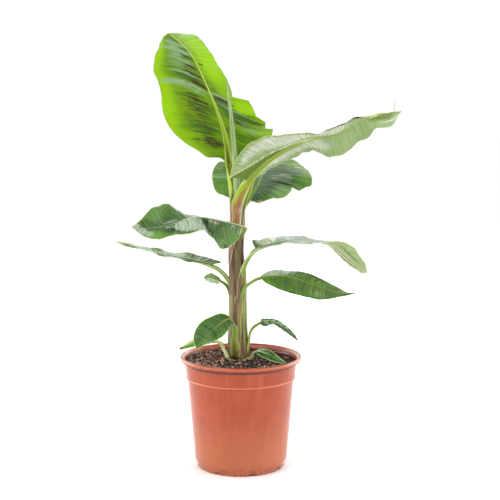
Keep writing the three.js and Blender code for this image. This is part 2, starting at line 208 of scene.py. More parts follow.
def piece_from(name, verts, faces, material, sharp=SHARP_EDGE):
    """A smooth closed piece of the plant, its faces pointing out, with its finish."""
    mesh = bpy.data.meshes.new(name)
    mesh.from_pydata((np.asarray(verts, float) * MM).tolist(), [], faces)
    outward(mesh)
    mesh.polygons.foreach_set("use_smooth", [True] * len(mesh.polygons))
    mesh.set_sharp_from_angle(angle=math.radians(sharp))
    mesh.materials.append(material)
    piece = bpy.data.objects.new(name, mesh)
    scene.collection.objects.link(piece)
    return piece


def settle(piece, slot, *nodes):
    """The piece belongs to the plant's one body and stands for nodes. The slot is not used."""
    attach(piece, "root")
    if nodes:
        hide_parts(*nodes)


def fade(tree, value, low, high):
    """0 below low, 1 above high, and a soft step between."""
    sockets = {0: value, 1: low, 2: high}
    return put(tree, "ShaderNodeMapRange", sockets, interpolation_type="SMOOTHSTEP").outputs[0]


def maths(tree, operation, a, b=0.0):
    return put(tree, "ShaderNodeMath", {0: a, 1: b}, operation=operation).outputs[0]


def total(tree, a, b):
    return maths(tree, "ADD", a, b)


def times(tree, a, b):
    return maths(tree, "MULTIPLY", a, b)


def opposite(tree, mask):
    """1 where the mask is 0, and 0 where it is 1."""
    return maths(tree, "SUBTRACT", 1.0, mask)


def between(tree, value, rise, fall):
    """A mask that comes up over the first range of the value and goes down over the second."""
    return times(tree, fade(tree, value, *rise), opposite(tree, fade(tree, value, *fall)))


def mixed(tree, share, a, b):
    """Colour a, covered by colour b where the share is 1."""
    return put(tree, "ShaderNodeMix", {0: share, 6: a, 7: b}, data_type="RGBA").outputs[2]


def scaled(tree, value, low, high, at_low, at_high):
    """A value read on a straight line between two points, and held beyond them."""
    return put(tree, "ShaderNodeMapRange", {0: value, 1: low, 2: high, 3: at_low, 4: at_high}).outputs[0]


def mottle(tree, where, scale, detail=3.0, rough=0.5):
    """Noise from 0 to 1."""
    sockets = {"Vector": where, "Scale": scale, "Detail": detail, "Roughness": rough}
    return put(tree, "ShaderNodeTexNoise", sockets).outputs["Fac"]


def new_finish(name):
    """A material and its Principled shader."""
    material = bpy.data.materials.new(name)
    material.use_nodes = True
    return material, material.node_tree, material.node_tree.nodes["Principled BSDF"]


def add_bump(tree, shader, height, strength, distance):
    """Gives the shader a fine relief."""
    sockets = {"Height": height, "Strength": strength, "Distance": distance}
    tree.links.new(put(tree, "ShaderNodeBump", sockets).outputs[0], shader.inputs["Normal"])


terracotta, tree, shader = new_finish("terracotta_plastic")
spot = put(tree, "ShaderNodeTexCoord").outputs["Object"]
parts = put(tree, "ShaderNodeSeparateXYZ", {0: spot}).outputs
cloudy = mottle(tree, spot, 28.0, 2.0)
# Soft lighter streaks that run down the wall are painted reflections.
reflection_streaks = mottle(tree, put(tree, "ShaderNodeMapping", {0: spot, 3: (70, 70, 5)}).outputs[0], 1.0, 2.0)
dust = mottle(tree, spot, 420.0, 2.0)
colour = mixed(tree, fade(tree, cloudy, 0.3, 0.75), paint(154, 58, 20), paint(164, 66, 28))
colour = mixed(tree, times(tree, fade(tree, reflection_streaks, 0.45, 0.75), 0.5), colour, paint(178, 84, 46))
height = parts["Z"]
# The wall is painted paler towards its foot: painted light thrown up by the white floor, and a dusty bloom.
floor_light_and_dust = opposite(tree, fade(tree, height, 0.0, 0.11))
colour = mixed(tree, times(tree, floor_light_and_dust, 0.7), colour, paint(176, 102, 66))
# The bands paint two highlights, the darker top of the lip and the shadow under the lip onto the wall.
for start, end, tone in POT_BANDS:
    rise, fall = (start - 2 * BAND_SOFT, start + BAND_SOFT), (end - BAND_SOFT, end + 2 * BAND_SOFT)
    band = between(tree, height, rise, fall)
    colour = mixed(tree, times(tree, band, 0.8), colour, tone)
# The lip's top is painted with a pale highlight towards its left and right ends.
ends = fade(tree, maths(tree, "ABSOLUTE", parts["X"]), 0.055, 0.083)
lip = between(tree, height, (0.1540, 0.1552), (0.1572, 0.1580))
colour = mixed(tree, times(tree, times(tree, lip, ends), 0.6), colour, paint(240, 196, 174))
low = opposite(tree, fade(tree, height, 0.0, 0.02))
colour = mixed(tree, times(tree, low, fade(tree, dust, 0.5, 0.62)), colour, paint(120, 44, 16))
tree.links.new(colour, shader.inputs["Base Color"])
tree.links.new(scaled(tree, dust, 0.2, 0.8, 0.22, 0.28), shader.inputs["Roughness"])
add_bump(tree, shader, dust, 0.1, 0.0002)

pot = piece_from("nursery_pot", *turned(rounded(POT_PROFILE), POT_TURN), terracotta)
cutter_mesh = bpy.data.meshes.new("notches")
cutter = bpy.data.objects.new("notches", cutter_mesh)
scene.collection.objects.link(cutter)
shape = bmesh.new()
for k in range(POT_NOTCHES):
    angle = 2 * math.pi * k / POT_NOTCHES + math.radians(POT_NOTCH_TURN)
    place = Matrix.Rotation(angle, 4, "Z") @ Matrix.Translation((POT_FOOT_RADIUS * MM, 0, 0))
    place = place @ Matrix.Diagonal([side * MM for side in POT_NOTCH_SIZE] + [1])
    bmesh.ops.create_cube(shape, size=1, matrix=place)
shape.to_mesh(cutter_mesh)
shape.free()
# The notches are cut by one boolean, and the pot keeps its finished mesh.
cut = pot.modifiers.new("notches", "BOOLEAN")
cut.object = cutter
cut.operation = "DIFFERENCE"
cut.solver = "EXACT"
finished = bpy.data.meshes.new_from_object(pot.evaluated_get(bpy.context.evaluated_depsgraph_get()))
pot.modifiers.clear()
pot.data = finished
finished.set_sharp_from_angle(angle=math.radians(SHARP_EDGE))
bpy.data.objects.remove(cutter)
settle(pot, "pot", "pot")


# The potting mix: dark moist peat that fills the pot to just under its lip, lumpy on top, lower at the
# back right, with lighter crumbs strewn over it.
SOIL_TOP = 150.6
SOIL_CROWN = 1.6
SOIL_RINGS = 64
SOIL_TURN = 150
SOIL_EDGE = 77.8
SOIL_FALL = 4.5
SOIL_SHARP = 60
SOIL_LOW_SIDE = (0.85, 0.5)
SOIL_UNDER = ((70.2, 125), (60.8, 12), (57, 3))
CRUMB_KINDS = {
    "peat_crumbs_small": {"Density": 160000.0, "Smallest": 0.0005, "Largest": 0.0019, "Flatness": 0.7,
                          "Seed": 3},
    "peat_crumbs_large": {"Density": 18000.0, "Smallest": 0.0014, "Largest": 0.0036, "Flatness": 0.6,
                          "Seed": 11},
}
CRUMB_REACH = {"Inner": 0.010, "Outer": 0.0735}


def lumps(x, y, size, depth, seed):
    """Uneven ground of one grain size."""
    return noise.fractal(Vector((x / size, y / size, seed)), 0.7, 2.0, depth)


def soil_height(x, y):
    """The height of the lumpy surface."""
    away = math.hypot(x, y) / SOIL_EDGE
    bumps = 2.6 * lumps(x, y, 13, 3, 3.1) + 1.3 * abs(lumps(x, y, 4.4, 3, 8.4))
    slope = max(0, (x * SOIL_LOW_SIDE[0] + y * SOIL_LOW_SIDE[1]) / SOIL_EDGE) ** 1.5
    crown = SOIL_CROWN * (1 - away * away) - SOIL_FALL * slope
    return SOIL_TOP + crown + bumps * min(1, 4 * (1 - away) + 0.35)


verts = [(0, 0, soil_height(0, 0))]
faces = []
for k in range(1, SOIL_RINGS + 1):
    radius = SOIL_EDGE * k / SOIL_RINGS
    for i in range(SOIL_TURN):
        angle = 2 * math.pi * (i + 0.5 * (k % 2)) / SOIL_TURN
        x, y = radius * math.cos(angle), radius * math.sin(angle)
        verts.append((x, y, soil_height(x, y)))
for radius, height in SOIL_UNDER:
    for i in range(SOIL_TURN):
        angle = 2 * math.pi * i / SOIL_TURN
        verts.append((radius * math.cos(angle), radius * math.sin(angle), height))
verts.append((0, 0, SOIL_UNDER[-1][1]))
for k in range(SOIL_RINGS + len(SOIL_UNDER)):
    a, b = 1 + (k - 1) * SOIL_TURN, 1 + k * SOIL_TURN
    for i in range(SOIL_TURN):
        j = (i + 1) % SOIL_TURN
        faces.append((0, b + i, b + j) if k == 0 else (a + i, b + i, b + j, a + j))
last = len(verts) - 1
faces += [(last, last - SOIL_TURN + (i + 1) % SOIL_TURN, last - SOIL_TURN + i) for i in range(SOIL_TURN)]

peat, tree, shader = new_finish("peat")
spot = put(tree, "ShaderNodeTexCoord").outputs["Object"]
coarse = mottle(tree, spot, 110.0, 5.0, 0.65)
fine = mottle(tree, spot, 520.0, 3.0, 0.6)
side = put(tree, "ShaderNodeSeparateXYZ", {0: spot}).outputs["X"]
colour = mixed(tree, fade(tree, coarse, 0.38, 0.62), paint(14, 9, 8), paint(44, 29, 24))
bright = times(tree, fade(tree, fine, 0.52, 0.72), scaled(tree, side, -0.05, 0.03, 0.9, 0.3))
colour = mixed(tree, bright, colour, paint(150, 110, 84))
tree.links.new(colour, shader.inputs["Base Color"])
shader.inputs["Roughness"].default_value = 0.92
add_bump(tree, shader, total(tree, coarse, fine), 0.9, 0.0012)
soil = piece_from("potting_mix", verts, faces, peat, SOIL_SHARP)

# Crumbs lie on the surface: small rough lumps, strewn by area and turned every way.
crumb_finish, tree, shader = new_finish("peat_crumbs")
spot = put(tree, "ShaderNodeTexCoord").outputs["Object"]
tint = put(tree, "ShaderNodeAttribute", attribute_name="tint").outputs["Fac"]
side = put(tree, "ShaderNodeSeparateXYZ", {0: spot}).outputs["X"]
lighter = scaled(tree, side, -0.06, 0.03, 0.22, -0.16)
grain = mottle(tree, spot, 700.0, 3.0, 0.6)
colour = mixed(tree, fade(tree, total(tree, tint, lighter), 0.4, 0.9), paint(36, 24, 20),
               paint(236, 184, 158))
colour = mixed(tree, fade(tree, grain, 0.35, 0.7), mixed(tree, 0.7, colour, paint(20, 12, 10)), colour)
tree.links.new(colour, shader.inputs["Base Color"])
shader.inputs["Roughness"].default_value = 0.9
add_bump(tree, shader, grain, 0.8, 0.0006)


def socket_id(tree, name):
    """The identifier of a tree's input, by which a modifier's value is set."""
    return next(s.identifier for s in tree.interface.items_tree if s.name == name)


def tree_with(name, inputs):
    """A geometry tree with a mesh input, a mesh output and the named number and object inputs."""
    tree = bpy.data.node_groups.new(name, "GeometryNodeTree")
    tree.interface.new_socket("Geometry", in_out="OUTPUT", socket_type="NodeSocketGeometry")
    tree.interface.new_socket("Geometry", in_out="INPUT", socket_type="NodeSocketGeometry")
    for label, kind in inputs.items():
        tree.interface.new_socket(label, in_out="INPUT", socket_type="NodeSocket" + kind)
    start = tree.nodes.new("NodeGroupInput")
    return tree, start.outputs, tree.nodes.new("NodeGroupOutput")


def strewn_tree():
    """Small lumps on a surface. Their size and tint are drawn for each, and their skin is roughened."""
    tree, given, end = tree_with("strewn_crumbs", {
        "Density": "Float", "Smallest": "Float", "Largest": "Float", "Flatness": "Float",
        "Inner": "Float", "Outer": "Float", "Seed": "Int", "Finish": "Material",
    })

    def more(a, b):
        return put(tree, "FunctionNodeCompare", {0: a, 1: b}, operation="GREATER_THAN").outputs[0]
    place = put(tree, "GeometryNodeInputPosition").outputs[0]
    level = put(tree, "ShaderNodeVectorMath", {0: place, 1: (1, 1, 0)}, operation="MULTIPLY").outputs[0]
    away = put(tree, "ShaderNodeVectorMath", {0: level}, operation="LENGTH").outputs["Value"]
    normal = put(tree, "GeometryNodeInputNormal").outputs[0]
    steep = put(tree, "ShaderNodeSeparateXYZ", {0: normal}).outputs[2]
    inside = more(given["Outer"], away)
    beyond = more(away, given["Inner"])
    top = more(steep, 0.2)
    where = put(tree, "FunctionNodeBooleanMath", {0: inside, 1: beyond}, operation="AND").outputs[0]
    where = put(tree, "FunctionNodeBooleanMath", {0: where, 1: top}, operation="AND").outputs[0]
    points = put(tree, "GeometryNodeDistributePointsOnFaces", {
        "Mesh": given["Geometry"], "Selection": where, "Density": given["Density"],
        "Seed": given["Seed"]})
    lump = put(tree, "GeometryNodeMeshIcoSphere", {"Radius": 1.0, "Subdivisions": 1}).outputs["Mesh"]
    draw = {"Seed": given["Seed"]}
    turn = put(tree, "FunctionNodeRandomValue", {0: (0, 0, 0), 1: (6.28, 6.28, 6.28), **draw},
               data_type="FLOAT_VECTOR").outputs[0]
    share = put(tree, "FunctionNodeRandomValue", {2: 0.0, 3: 1.0, **draw}).outputs[1]
    share = maths(tree, "POWER", share, 2.5)
    size = scaled(tree, share, 0.0, 1.0, given["Smallest"], given["Largest"])
    thick = times(tree, size, given["Flatness"])
    flat = put(tree, "ShaderNodeCombineXYZ", {0: size, 1: size, 2: thick}).outputs[0]
    laid = put(tree, "GeometryNodeInstanceOnPoints", {
        "Points": points.outputs["Points"], "Instance": lump, "Rotation": turn, "Scale": flat})
    tint = put(tree, "FunctionNodeRandomValue", {2: 0.0, 3: 1.0, "Seed": 5}).outputs[1]
    marked = put(tree, "GeometryNodeStoreNamedAttribute", {
        "Geometry": laid.outputs[0], "Name": "tint", "Value": tint}, data_type="FLOAT", domain="INSTANCE")
    real = put(tree, "GeometryNodeRealizeInstances", {0: marked.outputs[0]}).outputs[0]
    uneven = put(tree, "ShaderNodeTexNoise", {"Vector": place, "Scale": 900.0, "Detail": 1.0})
    sockets = {0: uneven.outputs["Color"], 1: (0.5, 0.5, 0.5)}
    rough = put(tree, "ShaderNodeVectorMath", sockets, operation="SUBTRACT").outputs[0]
    shift = put(tree, "ShaderNodeVectorMath", {0: rough, "Scale": 0.0022}, operation="SCALE").outputs[0]
    moved = put(tree, "GeometryNodeSetPosition", {"Geometry": real, "Offset": shift}).outputs[0]
    done = put(tree, "GeometryNodeSetMaterial", {"Geometry": moved, "Material": given["Finish"]})
    tree.links.new(done.outputs[0], end.inputs[0])
    return tree


def grown_by(name, source, tree, values):
    """The plain mesh that a geometry tree makes of a source object, as a piece of its own."""
    carrier = bpy.data.objects.new(name, source.data.copy())
    scene.collection.objects.link(carrier)
    modifier = carrier.modifiers.new("make", "NODES")
    modifier.node_group = tree
    for label, value in values.items():
        modifier[socket_id(tree, label)] = value
    made = bpy.data.meshes.new_from_object(carrier.evaluated_get(bpy.context.evaluated_depsgraph_get()))
    carrier.modifiers.clear()
    bpy.data.objects.remove(carrier)
    piece = bpy.data.objects.new(name, made)
    scene.collection.objects.link(piece)
    return piece


strewn = strewn_tree()
for name, values in CRUMB_KINDS.items():
    crumbs = grown_by(name, soil, strewn, values | CRUMB_REACH | {"Finish": crumb_finish})
    settle(crumbs, "soil")
settle(soil, "soil", "soil")


# The pseudostem: leaf sheaths rolled round each other. Its core is the innermost of them, and each leaf
# below brings its own sheath, which lies on the core and on the sheaths of the leaves above it.
STEM_HEIGHTS = [150, 171, 222, 272, 304, 351, 379]
STEM_RADII = [14.3, 14.2, 12.4, 12.3, 10.9, 10.6, 11.2]
STEM_CENTRE = -4.2
STEM_SWAY = -2.6
STEM_SWAY_HEIGHT = 304
STEM_SWAY_LENGTH = 26
STEM_DEPTH = 0.94
STEM_TOP = 377
STEM_FOOT = 149
CORE_SUNK = 0.5
CORE_TURN = 120
CORE_STEP = 1.5
CORE_NARROWING = 0.7


def ease(values, places, x):
    """A smooth curve through values at rising places, read at each x."""
    v, p = np.asarray(values, float), np.asarray(places, float)
    last = len(v) - 1
    x = np.clip(np.asarray(x, float), p[0], p[-1])
    i = np.minimum(np.searchsorted(p[1:], x), last - 1)
    a, b = np.maximum(np.arange(last + 1) - 1, 0), np.minimum(np.arange(last + 1) + 1, last)
    wide = (slice(None),) + (None,) * (v.ndim - 1)
    slope = (v[b] - v[a]) / (p[b] - p[a])[wide]
    h = (p[i + 1] - p[i])
    t = (x - p[i]) / h
    t, h = t[(...,) + (None,) * (v.ndim - 1)], h[(...,) + (None,) * (v.ndim - 1)]
    return (((2 * t - 3) * t * t + 1) * v[i] + ((t - 2) * t + 1) * t * h * slope[i]
            + (3 - 2 * t) * t * t * v[i + 1] + (t - 1) * t * t * h * slope[i + 1])


def even(values, t):
    """Values spaced evenly from 0 to 1, read at each t."""
    return ease(values, np.linspace(0, 1, len(values)), t)


def soft(low, high, x):
    """A soft step from 0 at low to 1 at high."""
    t = np.clip((x - low) / (high - low), 0, 1)
    return t * t * (3 - 2 * t)


def stem_radius(z):
    """The radius of the pseudostem at a height."""
    return ease(STEM_RADII, STEM_HEIGHTS, z)


def stem_centre(z):
    """How far to the right the middle of the pseudostem lies at a height."""
    return STEM_CENTRE + STEM_SWAY * np.exp(-((z - STEM_SWAY_HEIGHT) / STEM_SWAY_LENGTH) ** 2)


def tube_faces(rings, count):
    """Faces of a tube of rings, closed at each end at the two vertices that come last."""
    faces = []
    for k in range(rings - 1):
        for i in range(count):
            j = (i + 1) % count
            faces.append((k * count + i, k * count + j, (k + 1) * count + j, (k + 1) * count + i))
    foot = rings * count
    faces += [(foot, (i + 1) % count, i) for i in range(count)]
    faces += [(foot + 1, foot - count + i, foot - count + (i + 1) % count) for i in range(count)]
    return faces


def stem_point(z, angle, radius):
    """A point at a height, at an angle from the front (-Y) towards the right (+X)."""
    return np.stack([
        stem_centre(z) + radius * np.sin(angle), -STEM_DEPTH * radius * np.cos(angle), z + 0 * angle], -1)


def skin_group():
    """The skin of a sheath: stripes that run up it, darker streaks and specks, and a waxy bloom."""
    group = bpy.data.node_groups.new("sheath_skin", "ShaderNodeTree")
    for label in ("Colour", "Dark", "Pale"):
        group.interface.new_socket(label, in_out="INPUT", socket_type="NodeSocketColor")
    group.interface.new_socket("Streaks", in_out="INPUT", socket_type="NodeSocketFloat")
    group.interface.new_socket("Colour", in_out="OUTPUT", socket_type="NodeSocketColor")
    group.interface.new_socket("Roughness", in_out="OUTPUT", socket_type="NodeSocketFloat")
    group.interface.new_socket("Height", in_out="OUTPUT", socket_type="NodeSocketFloat")
    given = group.nodes.new("NodeGroupInput").outputs
    end = group.nodes.new("NodeGroupOutput")
    spot = put(group, "ShaderNodeTexCoord").outputs["Object"]

    def drawn_up(around, along, detail, rough=0.5):
        """Noise that is drawn out along the height."""
        stretched = put(group, "ShaderNodeMapping", {0: spot, 3: (around, around, along)}).outputs[0]
        return mottle(group, stretched, 1.0, detail, rough)
    stripes = drawn_up(620, 16, 3.0)
    streaks = drawn_up(190, 11, 4.0, 0.6)
    specks = drawn_up(480, 150, 2.0)
    cloud = mottle(group, spot, 45.0, 3.0)
    dark = times(group, fade(group, streaks, 0.47, 0.57), given["Streaks"])
    colour = mixed(group, dark, given["Colour"], given["Dark"])
    pale = times(group, fade(group, stripes, 0.52, 0.64), 0.65)
    colour = mixed(group, pale, colour, given["Pale"])
    specks = times(group, fade(group, specks, 0.66, 0.74), given["Streaks"])
    colour = mixed(group, specks, colour, given["Dark"])
    group.links.new(colour, end.inputs["Colour"])
    rough = scaled(group, cloud, 0.3, 0.7, 0.38, 0.55)
    group.links.new(rough, end.inputs["Roughness"])
    group.links.new(total(group, stripes, streaks), end.inputs["Height"])
    return group


def group_node(tree, group, sockets):
    """A use of a node group, each of its inputs with a value or a link."""
    return put(tree, "ShaderNodeGroup", sockets, node_tree=group).outputs


sheath_skin = skin_group()


def sheath_finish(name, colour, dark, pale, streaks):
    """A material of the sheath's skin alone, in colours of its own."""
    material, tree, shader = new_finish(name)
    sockets = {"Colour": colour, "Dark": dark, "Pale": pale, "Streaks": streaks}
    skin = group_node(tree, sheath_skin, sockets)
    tree.links.new(skin["Colour"], shader.inputs["Base Color"])
    tree.links.new(skin["Roughness"], shader.inputs["Roughness"])
    add_bump(tree, shader, skin["Height"], 0.5, 0.0006)
    return material


core_finish = sheath_finish("stem_core", paint(122, 82, 70), paint(74, 36, 36), paint(156, 136, 92), 0.9)
heights = np.arange(STEM_FOOT, STEM_TOP + 0.5, CORE_STEP)
angles = np.linspace(0, 2 * np.pi, CORE_TURN, endpoint=False)
# The core narrows at its top, and its skin is finely ribbed.
top_in = 1 - soft(STEM_TOP - 10, STEM_TOP + 2, heights) * CORE_NARROWING
z, a = np.meshgrid(heights, angles, indexing="ij")
ribbing = 0.10 * np.sin(23 * a + 0.02 * z) + 0.07 * np.sin(37 * a - 0.03 * z + 1)
rings = stem_point(z, a, (stem_radius(z) - CORE_SUNK + ribbing) * top_in[:, None])
count = len(heights)
middles = stem_point(np.array([STEM_FOOT, STEM_TOP]), np.zeros(2), 0)
verts = np.concatenate([rings.reshape(-1, 3), middles])
core = piece_from("stem_core", verts, tube_faces(count, CORE_TURN), core_finish)
settle(core, "stem", "pseudostem")


# The leaves. Each is one closed skin that begins as a sheath on the pseudostem, leaves it as a grooved
# stalk and opens into a blade whose halves fold at the rib, thin out to the margin and ripple along it.
# On the blade t runs from 0 at its base to 1 at its tip, and q from 0 on the rib to 1 on the margin.
HEADING_REACH = 1.5
STALK_STEP = 1.6
SHEATH_STEP = 3.0
SOIL_LINE = 150.5
RIB_COLUMNS = 6
BLADE_THICK = 0.8
MARGIN_THICK = 0.35
SHEATH_INSIDE = 0.9
SHEATH_EDGE = 1.6
END_DENSITY = 0.35
TORN_STEP = 0.0006
TIP_GAP = 0.15
ABOVE_STEM = 8
LEAF_SHARP = 55


def curve_through(knots):
    """A curve through knots, and its heading, read by the length run along their chords."""
    knots = np.array(knots, float)
    places = np.concatenate([[0], np.cumsum(np.linalg.norm(np.diff(knots, axis=0), axis=1))])

    def point(s):
        return ease(knots, places, s)

    def heading(s):
        way = point(np.minimum(places[-1], s + HEADING_REACH)) - point(np.maximum(0, s - HEADING_REACH))
        return way / np.linalg.norm(way, axis=-1, keepdims=True)
    return places, point, heading


def margin(half, t):
    """How far a half's margin lies from the rib, and how far ahead of it, in mm, at each t. A torn half
    has a curve for each strip."""
    reach, ahead = 0 * t, 0 * t
    for curve in half["margin"]:
        places, out, on = np.array(curve, float).T
        held = (t >= places[0]) & (t <= places[-1])
        reach = np.where(held, ease(out, places, t), reach)
        ahead = np.where(held, ease(on, places, t), ahead)
    return reach, ahead


def leaf_sections(leaf, path, s, t, columns):
    """The leaf's two faces and what each point is, for both halves, at each length s."""
    places, point, heading = path
    collar = places[1 + len(leaf["stalk"])]
    # Below its foot the leaf is a sheath and runs straight down.
    at, along = point(np.maximum(s, 0)), heading(np.maximum(s, 0))
    at = at + np.stack([0 * s, 0 * s, np.minimum(s, 0)], -1)
    # The upper face looks inwards at the foot and turns to the blade's own side on the way to the collar.
    turn = np.radians(leaf["turn"])
    inwards = np.array([-math.sin(turn), math.cos(turn), 0])
    facing = np.array(leaf.get("facing", [0, 0, 1]), float)
    share = soft(0.35 * collar, collar, s)[:, None]
    hint = (1 - share) * inwards + share * facing / np.linalg.norm(facing)
    left = np.cross(hint, along)
    left /= np.linalg.norm(left, axis=1, keepdims=True)
    up = np.cross(along, left)
    tb = np.clip(t, 0, 1)
    bank = np.radians(even(leaf.get("bank", [0, 0]), tb))[:, None]
    bank = bank * soft(0.6 * collar, collar, s)[:, None]
    left, up = left * np.cos(bank) + up * np.sin(bank), up * np.cos(bank) - left * np.sin(bank)
    on_blade = soft(-0.02, 0.02, t)
    # The stalk widens to its foot, and the rib gets slimmer to the tip.
    flare = 1 + leaf.get("flare", 0.5) * np.maximum(0, 1 - s / collar) ** 2
    slim = np.maximum(0.1, (1 - tb) ** leaf.get("taper", 3))
    radius = leaf["stalk_radius"] * np.where(t > 0, slim, flare)
    rib = radius * 1.05
    halves = []
    for side, half in ((1, leaf["left"]), (-1, leaf["right"])):
        reach, ahead = margin(half, tb)
        wing = rib + half.get("wing", 0.8)
        width = np.maximum(np.where(t > 0, np.maximum(reach, wing * (1 - tb)), wing), rib + 0.3)
        # The columns lie evenly on the rib and closer together to the margin.
        row = np.arange(columns + 1)
        inner = np.minimum(row / RIB_COLUMNS, 1)
        outer = np.sin(np.maximum(0, row - RIB_COLUMNS) / (columns - RIB_COLUMNS) * np.pi / 2)
        x = rib[:, None] * inner + (width - rib)[:, None] * outer
        q = x / width[:, None]
        # How steep the half is from the rib out: its fold and curl, a crease, and strips that hang in
        # their own way.
        fold = np.where(t > 0, even(half["fold"], tb), half["fold"][0] + 30 * (1 - soft(-0.12, 0, t)))
        curl = even(half.get("curl", [0, 0]), tb)
        angle = (fold[:, None] + curl[:, None] * q) * soft(0, 1, x / rib[:, None])
        if "crease" in half:
            line = np.interp(t, *zip(*half["crease"]))[:, None]
            flat = half["crease_turn"] * (soft(line - 0.05, line + 0.05, q) - 1)
            angle = angle + flat * on_blade[:, None]
        for start, stop, depth, extra in half.get("strips", []):
            held = (t >= start) & (t < stop)
            angle = angle + extra * held[:, None] * soft(depth, depth + 0.25, q)
        angle = np.radians(angle)
        middle = (angle[:, 1:] + angle[:, :-1]) / 2
        step = np.diff(x, axis=1)
        zero = np.zeros((len(s), 1))
        over = np.concatenate([zero, np.cumsum(np.cos(middle) * step, axis=1)], 1)
        rise = np.concatenate([zero, np.cumsum(np.sin(middle) * step, axis=1)], 1)
        # Long waves, a frill along the margin and fine pleats beside the veins, all calm at both ends.
        phase = 0.25 if side > 0 else 0.6
        calm = np.clip(np.minimum(6 * tb, 6 * (1 - tb)), 0, 1)
        wave = leaf.get("ripple", 0) * calm * np.sin(2 * np.pi * (leaf.get("waves", 0) * tb + phase))
        frill = leaf.get("frill", 0.5) * calm * (
            np.sin(s / leaf.get("frill_length", 5.2) + 2 * phase) + 0.6 * np.sin(s / 3.1 + 5 * phase))
        pleats = leaf.get("pleats", 0.2) * calm * (
            np.sin(s / 1.05 + side) + 0.8 * np.sin(s / 1.63 + 2 * side) + 0.7 * np.sin(s / 0.71 + side))
        lift = wave[:, None] * q * q + frill[:, None] * q ** 3 + pleats[:, None] * q * (1.35 - q) * 2
        normal = np.cos(angle)[..., None] * up[:, None] - side * np.sin(angle)[..., None] * left[:, None]
        bow = half.get("bow", 0)
        shift = (ahead * on_blade)[:, None] * ((1 - bow) * q * q + bow * q * (2 - q))
        place = (at[:, None] + side * over[..., None] * left[:, None] + rise[..., None] * up[:, None]
                 + lift[..., None] * normal + shift[..., None] * along[:, None])
        # The two faces: a groove on the rib above, a keel below, and a blade that thins out to its margin.
        across = x / rib[:, None]
        keel = radius[:, None] * np.sqrt(np.clip(1 - across ** 2, 0, 1)) * 0.98
        groove = (1 - 0.85 * soft(0, leaf.get("groove_end", 0.6), tb))[:, None]
        lip = np.where(across < 1, -0.34 + 0.62 * across ** 2, 0.28 * np.exp(-(across - 1) * 4.5))
        thin = (MARGIN_THICK + (BLADE_THICK - MARGIN_THICK) * (1 - q ** 2)) / 2
        upper = place + normal * (thin + radius[:, None] * groove * lip)[..., None]
        lower = place - normal * (thin + keel)[..., None]
        halves.append({"upper": upper, "lower": lower, "x": x, "q": q, "rib": across, "width": width})
    return at, halves


def sheath_sections(leaf, z, columns):
    """The leaf's two faces while it is a sheath round the pseudostem, and how far round each point is
    from the sheath's middle, both as a share and to the margin in mm."""
    row = np.arange(columns + 1)
    inner = np.minimum(row / RIB_COLUMNS, 1)
    outer = np.maximum(0, row - RIB_COLUMNS) / (columns - RIB_COLUMNS)
    outside, inside, shares, rims = [], [], [], []
    for side, key in ((1, "left"), (-1, "right")):
        heights, spans = zip(*leaf["sheath"][key])
        span = np.interp(z, heights, spans)
        wing = np.degrees(max(SHEATH_EDGE, leaf[key].get("wing", 0)) / stem_radius(z))
        reach = span[:, None] * inner + wing[:, None] * outer
        turn = np.radians(leaf["turn"] + side * reach)
        proud = leaf["proud"] * (1 - 0.55 * (row / columns) ** 10)
        zz = np.repeat(z[:, None], columns + 1, 1)
        outside.append(stem_point(zz, turn, stem_radius(z)[:, None] + proud))
        inside.append(stem_point(zz, turn, stem_radius(z)[:, None] - SHEATH_INSIDE))
        shares.append(reach / (span + wing)[:, None])
        rims.append(np.radians((span + wing)[:, None] - reach) * stem_radius(z)[:, None])
    return outside, inside, shares, rims


# The kinds of mark that a leaf can carry. A mark is a soft spot: its half (1 left, -1 right), its t and q,
# how far it reaches in t and in q, and its strength. On the stalk t is below 0, on the sheath below -1.
# A bloom mark is partly the leaf's waxy bloom and partly painted sheen, where gloss catches the light.
MARKS = ("stain", "bloom", "shade", "line", "brown", "fresh")


def patches(leaf, kind, side, t, q, width):
    """The strength of one kind of mark at each point. A creased half also has a painted highlight on its
    crease and painted shade, in the fresh green, inside it, and every tip is brown."""
    strength = 0 * q
    for which, at_t, at_q, long_t, long_q, most in leaf.get("marks", {}).get(kind, []):
        if which == side:
            strength = strength + most * np.exp(-((t - at_t) / long_t) ** 2 - ((q - at_q) / long_q) ** 2)
    half = leaf["left" if side > 0 else "right"]
    # On a creased half the pale line is a painted highlight on the crease, and the fresh green inside it is
    # painted shade.
    if "crease" in half and kind in ("line", "fresh"):
        line = np.interp(t, *zip(*half["crease"]))
        there = soft(0, 0.01, t) * (1 - soft(0.4, 0.52, t))
        if kind == "line":
            strength = strength + there * np.exp(-((q - line) * width[:, None] / 0.9) ** 2)
        else:
            strength = strength + there * (1 - soft(-0.02, 0.01, q - line))
    if kind == "brown":
        strength = strength + soft(leaf.get("brown_from", 0.985), 1.0, t)
    return np.clip(strength, 0, 1)


